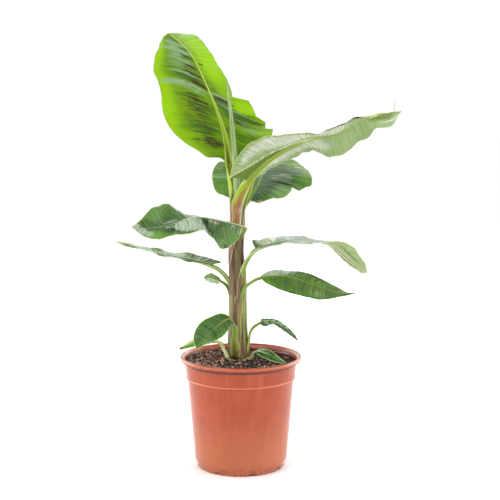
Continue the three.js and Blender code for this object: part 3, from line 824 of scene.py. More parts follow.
def grow_leaf(name, leaf, finish, slot, *nodes):
    """The closed skin of a leaf from its sheath to its tip, with what its finish reads at each point."""
    columns = leaf.get("columns", 20)
    path = curve_through([leaf["foot"], *leaf["stalk"], *leaf["rib"]])
    places = path[0]
    collar, length = places[1 + len(leaf["stalk"])], places[-1]
    blade = length - collar
    down = leaf["foot"][2] - leaf["sheath"].get("from", SOIL_LINE)
    steps = int(blade / leaf.get("step", 1.3))
    # The sections of the blade lie closer together at both its ends.
    run = np.linspace(0, 1, steps + 1)
    run = (1 - END_DENSITY) * run + END_DENSITY * (0.5 - 0.5 * np.cos(np.pi * run))
    # A tear has two rows of points close together, one on each side of it.
    both = (leaf["left"], leaf["right"])
    torn = [curve[0][0] for half in both for curve in half["margin"][1:]]
    torn += [at for half in both for strip in half.get("strips", []) for at in strip[:2]]
    s = np.unique(np.concatenate([
        -np.linspace(down, 0, max(2, int(down / SHEATH_STEP)))[:-1] if down > 1 else [],
        np.linspace(0, collar, max(4, int(collar / STALK_STEP)))[:-1],
        collar + blade * run, collar + blade * np.array([at - d for at in torn for d in (0, TORN_STEP)]),
    ]))
    s = s[s < length - TIP_GAP]
    t = (s - collar) / blade
    at, halves = leaf_sections(leaf, path, s, t, columns)
    z = at[:, 2]
    start, stop = leaf["leaves"]
    free = np.where(s < s[np.argmax(z)], soft(start, stop, z), 1.0)
    outside, inside, shares, rims = sheath_sections(leaf, np.minimum(z, STEM_HEIGHTS[-1] + ABOVE_STEM),
                                                    columns)
    rows_up, rows_down, facts = [], [], []
    for n, half in enumerate(halves):
        side = 1 - 2 * n
        k = free[:, None, None]
        level = np.array([0, 0, 1]) * (z - outside[n][:, 0, 2])[:, None, None]
        rows_up.append((inside[n] + level) * (1 - k) + half["upper"] * k)
        rows_down.append((outside[n] + level) * (1 - k) + half["lower"] * k)
        tt = np.repeat(np.where(t < 0, (s - collar) / collar, t)[:, None], columns + 1, 1)
        k = free[:, None]
        q = shares[n] * (1 - k) + half["q"] * k
        rim = rims[n] * (1 - k) + (1 - half["q"]) * half["width"][:, None] * k
        marks = [patches(leaf, kind, side, tt, q, half["width"]) for kind in MARKS]
        facts.append({
            "leaf": np.stack([side * q, tt, 0 * tt], -1),
            "rib": np.stack([np.minimum(half["rib"], 4), np.repeat(1 - k, columns + 1, 1), rim], -1),
            "marks": np.stack(marks[:3], -1),
            "signs": np.stack(marks[3:], -1),
            "flat": np.stack([side * half["x"] / 100, np.repeat(s[:, None], columns + 1, 1) / 100], -1),
        })

    def across(left_half, right_half):
        """One row over both halves, from the left margin to the right margin."""
        return np.concatenate([left_half[:, ::-1], right_half[:, 1:]], 1)
    upper, lower = across(*rows_up), across(*rows_down)
    verts = np.concatenate([upper, lower[:, ::-1]], 1)
    facts = {key: across(facts[0][key], facts[1][key]) for key in facts[0]}
    ring = verts.shape[1]
    n = np.arange(len(s) - 1)[:, None] * ring
    i = np.arange(ring)[None]
    j = (i + 1) % ring
    faces = np.stack([n + i, n + j, n + ring + j, n + ring + i], -1).reshape(-1, 4).tolist()
    end = (len(s) - 1) * ring
    for i in range(ring // 2 - 1):
        faces.append([i, ring - 1 - i, ring - 2 - i, i + 1])
        faces.append([end + i, end + i + 1, end + ring - 2 - i, end + ring - 1 - i])
    piece = piece_from(name, verts.reshape(-1, 3), faces, finish, LEAF_SHARP)
    mesh = piece.data
    for key in ("leaf", "rib", "marks", "signs"):
        whole = np.concatenate([facts[key], facts[key][:, ::-1]], 1).copy()
        if key == "leaf":
            whole[:, ring // 2:, 2] = 1
        mesh.attributes.new(key, "FLOAT_VECTOR", "POINT").data.foreach_set("vector", whole.ravel())
    flat = np.concatenate([facts["flat"], facts["flat"][:, ::-1]], 1).reshape(-1, 2)
    corner = np.zeros(len(mesh.loops), int)
    mesh.loops.foreach_get("vertex_index", corner)
    mesh.uv_layers.new(name="blade").data.foreach_set("uv", flat[corner].ravel())
    settle(piece, slot, *nodes)


# What a leaf's skin is given unless the leaf says otherwise: its colours, how strongly they show, how rough
# its two faces are, how far its veins slant and the seed of its pattern.
LEAF_GLOSS = 0.3
LEAF_RELIEF = 0.6
LEAF_RELIEF_DEPTH = 0.0009
LEAF_LOOK = {
    "Upper": paint(52, 98, 30), "Upper Streak": paint(34, 70, 26), "Upper Edge": paint(72, 124, 30),
    "Under": paint(138, 162, 112), "Under Streak": paint(108, 138, 84), "Rib": paint(150, 178, 92),
    "Groove": paint(92, 118, 40), "Keel": paint(130, 152, 66), "Margin": paint(196, 202, 140),
    "Stain": paint(84, 50, 34), "Bloom": paint(160, 180, 160), "Shade": paint(24, 44, 18),
    "Fresh": paint(104, 158, 30), "Stalk": paint(104, 136, 38), "Stalk Streak": paint(136, 160, 66),
    "Sheath": paint(130, 124, 66), "Sheath Dark": paint(116, 88, 76), "Sheath Streak": paint(70, 34, 32),
    "Sheath Pale": paint(176, 174, 116), "Withered": paint(74, 48, 30), "Streaks": 0.6,
    "Bloom Amount": 0.3, "Bloom Spread": 0.3, "Rib Line": 0.4, "Keel Line": 0.4, "Gloss": 0.3,
    "Under Gloss": 0.5, "Slant": 0.0, "Seed": 0.0,
}


def blade_group():
    """The skin of a leaf: veins, streaks and marks on both faces, a rib with a groove above and a keel
    below, a thin margin, a stalk with its edge lines, and the sheath's skin."""
    group = bpy.data.node_groups.new("leaf_skin", "ShaderNodeTree")
    for label, value in LEAF_LOOK.items():
        kind = "NodeSocketFloat" if isinstance(value, float) else "NodeSocketColor"
        group.interface.new_socket(label, in_out="INPUT", socket_type=kind)
    group.interface.new_socket("Colour", in_out="OUTPUT", socket_type="NodeSocketColor")
    for label in ("Roughness", "Height", "Thin"):
        group.interface.new_socket(label, in_out="OUTPUT", socket_type="NodeSocketFloat")
    given = group.nodes.new("NodeGroupInput").outputs
    end = group.nodes.new("NodeGroupOutput")

    def facts(name):
        vector = put(group, "ShaderNodeAttribute", attribute_name=name).outputs["Vector"]
        return put(group, "ShaderNodeSeparateXYZ", {0: vector}).outputs
    leaf, rib, marks, signs = facts("leaf"), facts("rib"), facts("marks"), facts("signs")
    laid = put(group, "ShaderNodeUVMap", uv_map="blade").outputs[0]
    flat = put(group, "ShaderNodeSeparateXYZ", {0: laid}).outputs
    q = maths(group, "ABSOLUTE", leaf[0])
    lean = times(group, maths(group, "ABSOLUTE", flat[0]), given["Slant"])
    run = total(group, flat[1], lean)

    def veins(across, along, detail=2.0, rough=0.5):
        """Noise on the leaf laid flat, as coarse across the rib and along it as is asked."""
        spot = put(group, "ShaderNodeCombineXYZ", {
            0: times(group, flat[0], across), 1: times(group, run, along), 2: given["Seed"]}).outputs[0]
        return mottle(group, spot, 1.0, detail, rough)

    def over(mask, below, top):
        return mixed(group, mask, below, top)

    def ragged(mark, grain):
        """A mark with an uneven edge: where it is weak, only the peaks of the grain show."""
        there = fade(group, mark, 0.02, 0.2)
        return times(group, there, fade(group, total(group, grain, times(group, mark, 0.5)), 0.76, 0.86))
    fine = veins(1.4, 95.0)
    streak = veins(2.6, 30.0, 3.0, 0.6)
    broad = veins(1.6, 8.0, 2.0)
    strokes = veins(5.0, 62.0, 3.0, 0.6)
    blotch = veins(7.0, 64.0, 3.0, 0.7)
    cloud = veins(7.0, 6.0, 3.0)
    under = leaf[2]
    above = opposite(group, under)
    on_blade = fade(group, leaf[1], -0.02, 0.01)
    # Both faces of the blade: its own green, broad and fine streaks along the veins, and a lighter edge.
    blade = over(under, given["Upper"], given["Under"])
    second = over(under, given["Upper Streak"], given["Under Streak"])
    blade = over(times(group, fade(group, broad, 0.4, 0.64), given["Streaks"]), blade, second)
    blade = over(times(group, fade(group, streak, 0.47, 0.66), given["Streaks"]), blade, second)
    uneven = times(group, maths(group, "SUBTRACT", cloud, 0.5), 0.5)
    edge = times(group, fade(group, total(group, q, uneven), 0.55, 1.0), times(group, above, 0.85))
    blade = over(edge, blade, given["Upper Edge"])
    fresh = times(group, signs[2], fade(group, total(group, streak, signs[2]), 0.5, 1.1))
    blade = over(fresh, blade, given["Fresh"])
    blade = over(times(group, ragged(marks[2], streak), 0.9), blade, given["Shade"])
    # Pale strokes and patches are partly waxy bloom and partly painted sheen on the glossy veins.
    bloom = times(group, fade(group, strokes, 0.56, 0.66), given["Bloom Amount"])
    patch = total(group, strokes, times(group, marks[1], 0.5))
    patch = fade(group, patch, 0.72, total(group, given["Bloom Spread"], 0.72))
    bloom = maths(group, "MAXIMUM", bloom, times(group, patch, fade(group, marks[1], 0.02, 0.2)))
    blade = over(bloom, blade, given["Bloom"])
    blade = over(times(group, ragged(marks[0], blotch), 0.9), blade, given["Stain"])
    # The rib.
    middle = opposite(group, fade(group, rib[0], 0.8, 1.0))
    line = between(group, rib[0], (0.7, 0.95), (1.05, 1.35))
    near_base = opposite(group, fade(group, leaf[1], 0.02, 0.16))
    channel = times(group, near_base, opposite(group, fade(group, rib[0], 0.15, 0.7)))
    channel = over(channel, given["Stalk"], given["Groove"])
    channel = over(times(group, fade(group, leaf[1], 0.3, 0.6), given["Rib Line"]), channel, given["Rib"])
    blade = over(middle, blade, over(under, channel, given["Keel"]))
    shown = scaled(group, under, 0.0, 1.0, given["Rib Line"], given["Keel Line"])
    blade = over(times(group, line, shown), blade, given["Rib"])
    # The stalk.
    lengthwise = veins(75.0, 3.0, 3.0)
    stalk = over(times(group, fade(group, lengthwise, 0.45, 0.65), 0.7), given["Stalk"],
                 given["Stalk Streak"])
    stalk = over(times(group, middle, 0.5), stalk, over(under, given["Groove"], given["Keel"]))
    stalk = over(times(group, marks[2], 0.95), stalk, given["Shade"])
    stalk = over(times(group, marks[0], 0.9), stalk, given["Stain"])
    stalk = over(times(group, signs[2], 0.9), stalk, given["Fresh"])
    stalk = over(times(group, line, given["Keel Line"]), stalk, given["Rib"])
    colour = over(on_blade, stalk, blade)
    # The sheath: green where it runs into the stalk, olive beside that and reddish to its margins.
    wide = maths(group, "MAXIMUM", fade(group, q, 0.42, 0.9), marks[0])
    own = over(fade(group, q, 0.0, 0.4), given["Stalk"], given["Sheath"])
    skin = group_node(group, sheath_skin, {
        "Colour": over(wide, own, given["Sheath Dark"]), "Dark": given["Sheath Streak"],
        "Pale": given["Sheath Pale"], "Streaks": 0.85})
    sheath = over(times(group, signs[2], 0.9), skin["Colour"], given["Fresh"])
    sheath = over(times(group, marks[2], 0.95), sheath, given["Shade"])
    # A dark band just inside each margin is painted shade, standing in for the shadow that the sheath's
    # edge casts beside it.
    inside = between(group, rib[2], (0.5, 1.0), (1.0, 2.6))
    sheath = over(times(group, inside, 0.7), sheath, given["Sheath Streak"])
    colour = over(fade(group, rib[1], 0.25, 0.9), colour, sheath)
    # Pale lines, the margin, and withered brown, which on the low left leaf also paints shade in the hollow
    # at the foot of its stalk.
    colour = over(times(group, signs[0], 0.9), colour, given["Rib"])
    rim = opposite(group, fade(group, rib[2], 0.3, 0.8))
    colour = over(times(group, rim, 0.85), colour, given["Margin"])
    colour = over(signs[1], colour, given["Withered"])
    group.links.new(colour, end.inputs["Colour"])
    rough = scaled(group, under, 0.0, 1.0, given["Gloss"], given["Under Gloss"])
    rough = total(group, rough, times(group, maths(group, "SUBTRACT", cloud, 0.5), 0.25))
    group.links.new(rough, end.inputs["Roughness"])
    height = total(group, times(group, fine, 0.6), times(group, streak, 1.0))
    group.links.new(times(group, height, on_blade), end.inputs["Height"])
    group.links.new(times(group, on_blade, fade(group, rib[0], 0.9, 1.6)), end.inputs["Thin"])
    return group


leaf_skin = blade_group()


def leaf_finish(name, glow, **changes):
    """A leaf's material: the shared skin with this leaf's own colours, and light let through its blade."""
    material, tree, shader = new_finish(name)
    sockets = LEAF_LOOK | {key.replace("_", " ").title(): value for key, value in changes.items()}
    skin = group_node(tree, leaf_skin, sockets)
    tree.links.new(skin["Colour"], shader.inputs["Base Color"])
    tree.links.new(skin["Roughness"], shader.inputs["Roughness"])
    shader.inputs["Specular IOR Level"].default_value = LEAF_GLOSS
    add_bump(tree, shader, skin["Height"], LEAF_RELIEF, LEAF_RELIEF_DEPTH)
    through = put(tree, "ShaderNodeBsdfTranslucent", {"Color": skin["Colour"]})
    share = times(tree, skin["Thin"], glow)
    both = put(tree, "ShaderNodeMixShader", {0: share, 1: shader.outputs[0], 2: through.outputs[0]})
    tree.links.new(both.outputs[0], tree.nodes["Material Output"].inputs["Surface"])
    return material


# The two young leaves. The top one stands up behind the spear with its upper face to the front, yellow
# green where light comes through, blotched beside the rib and torn into strips low on its right half.
# The other arches to the right, shows its pale underside, is creased near its base and twists at its end.
YOUNG_TOP = {
    "foot": [-9, 3, 372], "stalk": [[-12, 5, 402]],
    "rib": [[-16, 9, 428], [-22, 15, 466], [-34, 26, 503], [-50, 40, 540],
            [-69, 62, 577], [-87, 82, 596], [-105, 104, 611]],
    "facing": [0.15, -1, 0.3], "ripple": 2.5, "waves": 3, "stalk_radius": 4.6, "taper": 2.8,
    "columns": 34, "step": 1.1, "groove_end": 0.75,
    "left": {"fold": [15, 10, 5, 5, 0], "curl": [0, -10, -15, -25], "bow": 0.9,
             "margin": [[(0, 0.5, 0), (0.012, 14.2, 9.1), (0.03, 29.5, 3.8), (0.06, 44.5, 8.6),
                         (0.09, 58.7, 12.4), (0.13, 70.7, 19.8), (0.18, 75.6, 27), (0.24, 75.7, 32.6),
                         (0.3, 71.6, 37.1), (0.36, 66.4, 39.6), (0.42, 62.2, 47.4), (0.48, 61.5, 47.8),
                         (0.54, 59.6, 43.9), (0.6, 54.2, 39.5), (0.66, 46.7, 37.8), (0.72, 35.1, 37.2),
                         (0.78, 22.6, 41.4), (0.84, 12.5, 37.5), (0.9, 8, 24), (0.95, 5, 13),
                         (1, 0.3, 0)]]},
    "right": {"fold": [8, 5, -25, -30, -35], "curl": [0, 0, 0, -10], "bow": 0.85,
              "margin": [[(0, 0.5, 0), (0.02, 8.3, -4.5), (0.05, 15.4, -11.7), (0.1, 29.3, -22.8),
                          (0.15, 40.8, -33.5), (0.2, 50.1, -41.2), (0.25, 57.1, -45.4), (0.3, 62.5, -49),
                          (0.345, 68.4, -50.8)],
                         [(0.345, 62.4, -45.2), (0.37, 66, -46), (0.4, 71.1, -48)],
                         [(0.4, 52.3, -41), (0.435, 54, -35.7), (0.47, 53.2, -29.7)],
                         [(0.47, 31.9, -18), (0.5, 35, -14.5), (0.55, 37, -12.1), (0.6, 37.5, -10.4),
                          (0.66, 38.6, -8.3), (0.72, 37.7, -4.6), (0.78, 37.3, -1), (0.84, 39.6, 8.2),
                          (0.89, 38.6, 15), (0.93, 30.9, 13.9), (0.97, 19.5, 9.8), (1, 0.3, 0)]],
              "strips": [(0.345, 0.4, 0.35, -14), (0.4, 0.47, 0.3, 6)]},
    "turn": -123, "leaves": (372, 398), "proud": 0.1,
    "sheath": {"from": 330, "left": [(340, 70), (390, 35)], "right": [(340, 80), (390, 35)]},
    "marks": {
        "stain": [
            (1, 0.6, 0.3, 0.22, 0.3, 0.44), (1, 0.25, 0.38, 0.2, 0.35, 0.52),
            (-1, 0.5, 0.25, 0.14, 0.3, 0.46), (-1, 0.2, 0.3, 0.14, 0.4, 0.4),
            (1, 0.86, 0.12, 0.014, 0.1, 0.6), (1, 0.75, 0.14, 0.012, 0.12, 0.7),
            (1, 0.68, 0.2, 0.01, 0.14, 0.7), (1, 0.6, 0.14, 0.009, 0.14, 0.6),
            (1, 0.54, 0.16, 0.01, 0.15, 0.7), (1, 0.465, 0.12, 0.014, 0.13, 1.0),
            (1, 0.34, 0.2, 0.008, 0.2, 0.5), (1, 0.1, 0.3, 0.03, 0.3, 0.5),
            (-1, 0.66, 0.14, 0.01, 0.14, 0.8), (-1, 0.44, 0.3, 0.008, 0.25, 0.8),
            (-1, 0.32, 0.5, 0.008, 0.3, 0.7)],
        "shade": [
            (1, 0.72, 0.4, 0.26, 0.4, 0.52), (1, 0.3, 0.3, 0.24, 0.35, 0.56),
            (-1, 0.4, 0.3, 0.16, 0.5, 0.56), (1, 0.84, 0.3, 0.03, 0.2, 0.7),
            (1, 0.7, 0.3, 0.014, 0.2, 0.7), (1, 0.5, 0.3, 0.012, 0.25, 0.7),
            (-1, 0.37, 0.7, 0.02, 0.5, 0.9), (-1, 0.42, 0.2, 0.02, 0.2, 0.7),
            (-1, 0.9, 0.35, 0.04, 0.2, 0.45), (1, 0.12, 0.4, 0.1, 0.5, 0.3)],
        "bloom": [
            (1, 0.78, 0.4, 0.18, 0.4, 0.66), (1, 0.6, 0.4, 0.16, 0.45, 0.5),
            (1, 0.3, 0.35, 0.16, 0.3, 0.4), (-1, 0.4, 0.3, 0.12, 0.4, 0.5),
            (-1, 0.3, 0.7, 0.03, 0.4, 0.7), (1, 0.42, 0.55, 0.024, 0.6, 0.9),
            (1, 0.52, 0.3, 0.014, 0.3, 0.6), (1, 0.72, 0.45, 0.016, 0.5, 0.7),
            (1, 0.8, 0.4, 0.016, 0.5, 0.7), (-1, 0.45, 0.2, 0.014, 0.2, 0.9),
            (-1, 0.395, 0.6, 0.008, 0.5, 0.8)],
        "fresh": [(-1, 0.72, 0.6, 0.28, 0.6, 1.2), (1, 0.25, 0.95, 0.2, 0.26, 0.8),
                  (-1, 0.3, 0.8, 0.03, 0.5, 0.6), (-1, 0.43, 0.8, 0.03, 0.4, 0.9),
                  (1, 0.7, 0.95, 0.3, 0.2, 0.9)],
    },
}
YOUNG_RIGHT = {
    "foot": [-5, -4, 359], "stalk": [[1, -10, 383]],
    "rib": [[10, -20, 406], [38, -40, 435], [64, -58, 452], [97, -80, 467],
            [125, -94, 473], [147, -104, 483], [172, -113, 495], [206, -122, 502]],
    "ripple": 2, "waves": 2, "frill": 1.1, "stalk_radius": 5.5, "taper": 1.5, "columns": 34, "step": 1.1,
    "left": {"fold": [-15, -10, -30, -50, -45, -10], "wing": 6,
             "margin": [[(0, 0.5, 1.6), (0.05, 18.5, 0.3), (0.1, 21, 0.9), (0.15, 23.9, -1.5),
                         (0.2, 30.5, -3.6), (0.3, 27.1, 1.1), (0.36, 25.8, 0.5), (0.42, 24.8, -1.2),
                         (0.46, 29, -6.4), (0.5, 36.2, -9), (0.55, 40.1, -5.6), (0.6, 39.3, -6),
                         (0.65, 33.7, -8.7), (0.7, 27.8, -8.1), (0.75, 25.9, -7.7), (0.79, 25.9, -5.1),
                         (0.82, 21.3, -1.3), (0.84, 22.1, -0.2), (0.88, 31.8, -1.1), (0.92, 40.7, -2.8),
                         (0.95, 39.5, -3.2), (0.98, 24.7, -3.4), (1, 0.3, 0)]]},
    "right": {"fold": [25, 35, 35, 35, 30, 20], "crease_turn": 10,
              "crease": [(0, 1), (0.03, 1), (0.06, 0.72), (0.1, 0.5), (0.15, 0.36), (0.2, 0.28),
                         (0.3, 0.2), (0.5, 0.14)],
              "margin": [[(0, 0.5, 1.2), (0.01, 22.5, 0.6), (0.025, 31.8, -7.2), (0.05, 35.8, -7.2),
                          (0.1, 39.7, -8.8), (0.15, 42.2, -8.2), (0.2, 42.7, -8.5), (0.25, 43.4, -7.7),
                          (0.3, 39.1, -7.3), (0.35, 32.9, -4.6), (0.4, 25.2, 0.2), (0.45, 17.2, 4),
                          (0.5, 10.2, 6.5), (0.54, 11.4, 7), (0.6, 16.4, 8.7), (0.65, 16.6, 11.8),
                          (0.7, 14.4, 13), (0.75, 10.8, 11.5), (0.8, 3.6, 8.1), (0.85, 0.3, 4.8),
                          (0.9, 3.1, 4.3), (0.95, 3.6, 1.6), (1, 0.3, 0)]]},
    "turn": -20, "leaves": (352, 402), "proud": 0.25,
    "sheath": {"from": 322, "left": [(322, 36), (345, 40), (381, 61), (400, 60)],
               "right": [(322, 62), (372, 68), (400, 60)]},
    "marks": {
        "stain": [(1, -0.2, 0.12, 0.45, 0.12, 1), (1, -0.95, 0.25, 0.25, 0.3, 1),
                  (1, -0.6, 0.26, 0.3, 0.18, 0.8), (-1, -1.05, 0.1, 0.2, 0.3, 0.7)],
        "brown": [(-1, 0.57, 0.98, 0.07, 0.1, 1), (-1, 0.66, 0.98, 0.06, 0.1, 1),
                  (-1, 0.74, 0.98, 0.03, 0.1, 1)],
        "shade": [(1, -0.9, 0.76, 0.9, 0.13, 1.1), (-1, 0.13, 0.8, 0.004, 0.25, 0.7),
                  (-1, 0.17, 0.78, 0.004, 0.25, 0.8), (-1, 0.205, 0.75, 0.005, 0.3, 0.9),
                  (-1, 0.235, 0.75, 0.004, 0.25, 0.9), (-1, 0.27, 0.75, 0.004, 0.25, 0.8),
                  (-1, 0.3, 0.75, 0.004, 0.25, 0.7)],
        "line": [(1, -1, 0.56, 1, 0.05, 1), (1, 0.93, 0.55, 0.04, 0.05, 0.9)],
        "bloom": [(-1, 0.36, 0.6, 0.14, 0.35, 1.6), (1, 0.2, 0.4, 0.2, 0.5, 1.1),
                  (-1, 0.62, 0.5, 0.1, 0.5, 1.4), (1, 0.88, 0.45, 0.04, 0.15, 0.8),
                  (1, 0.5, 0.4, 0.14, 0.5, 0.9), (-1, 0.16, 0.75, 0.1, 0.2, 0.9)],
        "fresh": [(1, 0.9, 0.15, 0.08, 0.25, 1.2), (-1, 0.9, 0.3, 0.1, 0.6, 1)],
    },
}

grow_leaf("young_leaf_top", YOUNG_TOP, leaf_finish(
    "young_leaf_top", glow=0.55, upper=paint(138, 174, 6), upper_streak=paint(98, 142, 24),
    upper_edge=paint(160, 198, 2), under=paint(140, 178, 60), under_streak=paint(110, 154, 40),
    rib=paint(190, 204, 110), groove=paint(98, 84, 20), stalk=paint(134, 164, 22),
    stalk_streak=paint(160, 178, 60), keel=paint(150, 176, 74), margin=paint(146, 180, 24),
    bloom=paint(164, 194, 150), stain=paint(84, 50, 26), shade=paint(78, 116, 34),
    fresh=paint(172, 212, 0), streaks=0.95, bloom_amount=0.15, rib_line=0.7, gloss=0.4,
    seed=3.0), "young_leaf", "leaf_top")
grow_leaf("young_leaf_right", YOUNG_RIGHT, leaf_finish(
    "young_leaf_right", glow=0.15, upper=paint(72, 130, 24), under=paint(150, 172, 114),
    under_streak=paint(120, 150, 86), rib=paint(222, 228, 196), keel=paint(126, 148, 0),
    groove=paint(92, 112, 34), stalk=paint(150, 166, 40), stalk_streak=paint(172, 182, 84),
    margin=paint(190, 196, 130), bloom=paint(206, 208, 192), shade=paint(66, 92, 6),
    fresh=paint(100, 126, 36), stain=paint(148, 104, 48), sheath=paint(150, 112, 66),
    sheath_dark=paint(152, 104, 76), sheath_streak=paint(112, 62, 52), sheath_pale=paint(186, 152, 116),
    streaks=0.55, keel_line=0.12, bloom_amount=0.2, bloom_spread=0.4, under_gloss=0.42,
    seed=11.0), "young_leaf", "leaf_upper_right")


# A dry thread, torn from the margin, stands up from the tip of the right young leaf.
THREAD_LINE = [[198, -121.5, 501], [196.5, -121, 507], [198.5, -121, 513], [196.5, -121.5, 518],
               [197.5, -121, 522]]
THREAD_RADIUS = 0.3
THREAD_TURN = 6
THREAD_STEPS = 24
places, thread_point, _ = curve_through(THREAD_LINE)
run = np.linspace(0, places[-1], THREAD_STEPS + 1)
middle = thread_point(run)
angles = np.arange(THREAD_TURN) * 2 * np.pi / THREAD_TURN
thin = THREAD_RADIUS * (1.3 - run / places[-1])
ring = np.stack([np.cos(angles), np.sin(angles), 0 * angles], -1)
verts = np.concatenate([(middle[:, None] + thin[:, None, None] * ring).reshape(-1, 3), middle[[0, -1]]])
thread_finish = sheath_finish("dry_thread", paint(150, 140, 112), paint(96, 82, 60), paint(190, 184, 160),
                              0.6)
thread = piece_from("leaf_thread", verts, tube_faces(THREAD_STEPS + 1, THREAD_TURN), thread_finish)
settle(thread, "young_leaf")


# The spear: the newest leaf, still rolled into a slim cone, pale green, with the edges of the roll and a
# few fine darker lines running up it.
SPEAR_LINE = [[-4, 0, 374], [-6.5, -1, 419], [-9, -1, 447], [-13, -1, 495], [-16.5, -1, 522],
              [-20, -1, 546]]
SPEAR_RADII = [5.4, 4.7, 4.1, 2.9, 1.9, 0.5]
SPEAR_TURN = 72
SPEAR_STEPS = 140
SPEAR_TWISTS = 0.3
SPEAR_SEAM = -2.4

spear_finish, tree, shader = new_finish("spear_leaf")
roll = put(tree, "ShaderNodeAttribute", attribute_name="roll").outputs["Vector"]
roll = put(tree, "ShaderNodeSeparateXYZ", {0: roll}).outputs
skin = group_node(tree, sheath_skin, {
    "Colour": paint(136, 160, 96), "Dark": paint(98, 124, 62), "Pale": paint(176, 188, 146),
    "Streaks": 0.7})
around = put(tree, "ShaderNodeCombineXYZ", {0: times(tree, roll[0], 30.0), 1: roll[1]}).outputs[0]
lines = mottle(tree, around, 1.0, 1.0)
colour = mixed(tree, times(tree, fade(tree, lines, 0.56, 0.66), 0.8), skin["Colour"], paint(84, 104, 52))
edge = opposite(tree, fade(tree, roll[0], 0.02, 0.05))
colour = mixed(tree, times(tree, edge, 0.8), colour, paint(206, 212, 176))
tree.links.new(colour, shader.inputs["Base Color"])
tree.links.new(skin["Roughness"], shader.inputs["Roughness"])
add_bump(tree, shader, total(tree, skin["Height"], lines), 0.5, 0.0006)
places, spear_point, _ = curve_through(SPEAR_LINE)
run = np.linspace(0, places[-1], SPEAR_STEPS + 1)
middle = spear_point(run)
radius = ease(SPEAR_RADII, places, run)
angles = 2 * np.pi * np.arange(SPEAR_TURN) / SPEAR_TURN
seam = 2 * np.pi * SPEAR_TWISTS * run / places[-1] + SPEAR_SEAM
rolled = ((angles - seam[:, None]) / (2 * np.pi)) % 1
width = radius[:, None] * (0.88 + 0.18 * rolled)
rings = middle[:, None] + np.stack([width * np.cos(angles), width * np.sin(angles), 0 * width], -1)
verts = np.concatenate([rings.reshape(-1, 3), [middle[0], middle[-1] + [0, 0, 0.6]]])
spear = piece_from("spear", verts, tube_faces(SPEAR_STEPS + 1, SPEAR_TURN), spear_finish)
facts = np.stack([rolled, np.repeat(run[:, None] / 40, SPEAR_TURN, 1), 0 * rolled], -1).reshape(-1, 3)
facts = np.concatenate([facts, np.full((2, 3), 0.5)])
spear.data.attributes.new("roll", "FLOAT_VECTOR", "POINT").data.foreach_set("vector", facts.ravel())
settle(spear, "spear", "spear_leaf")


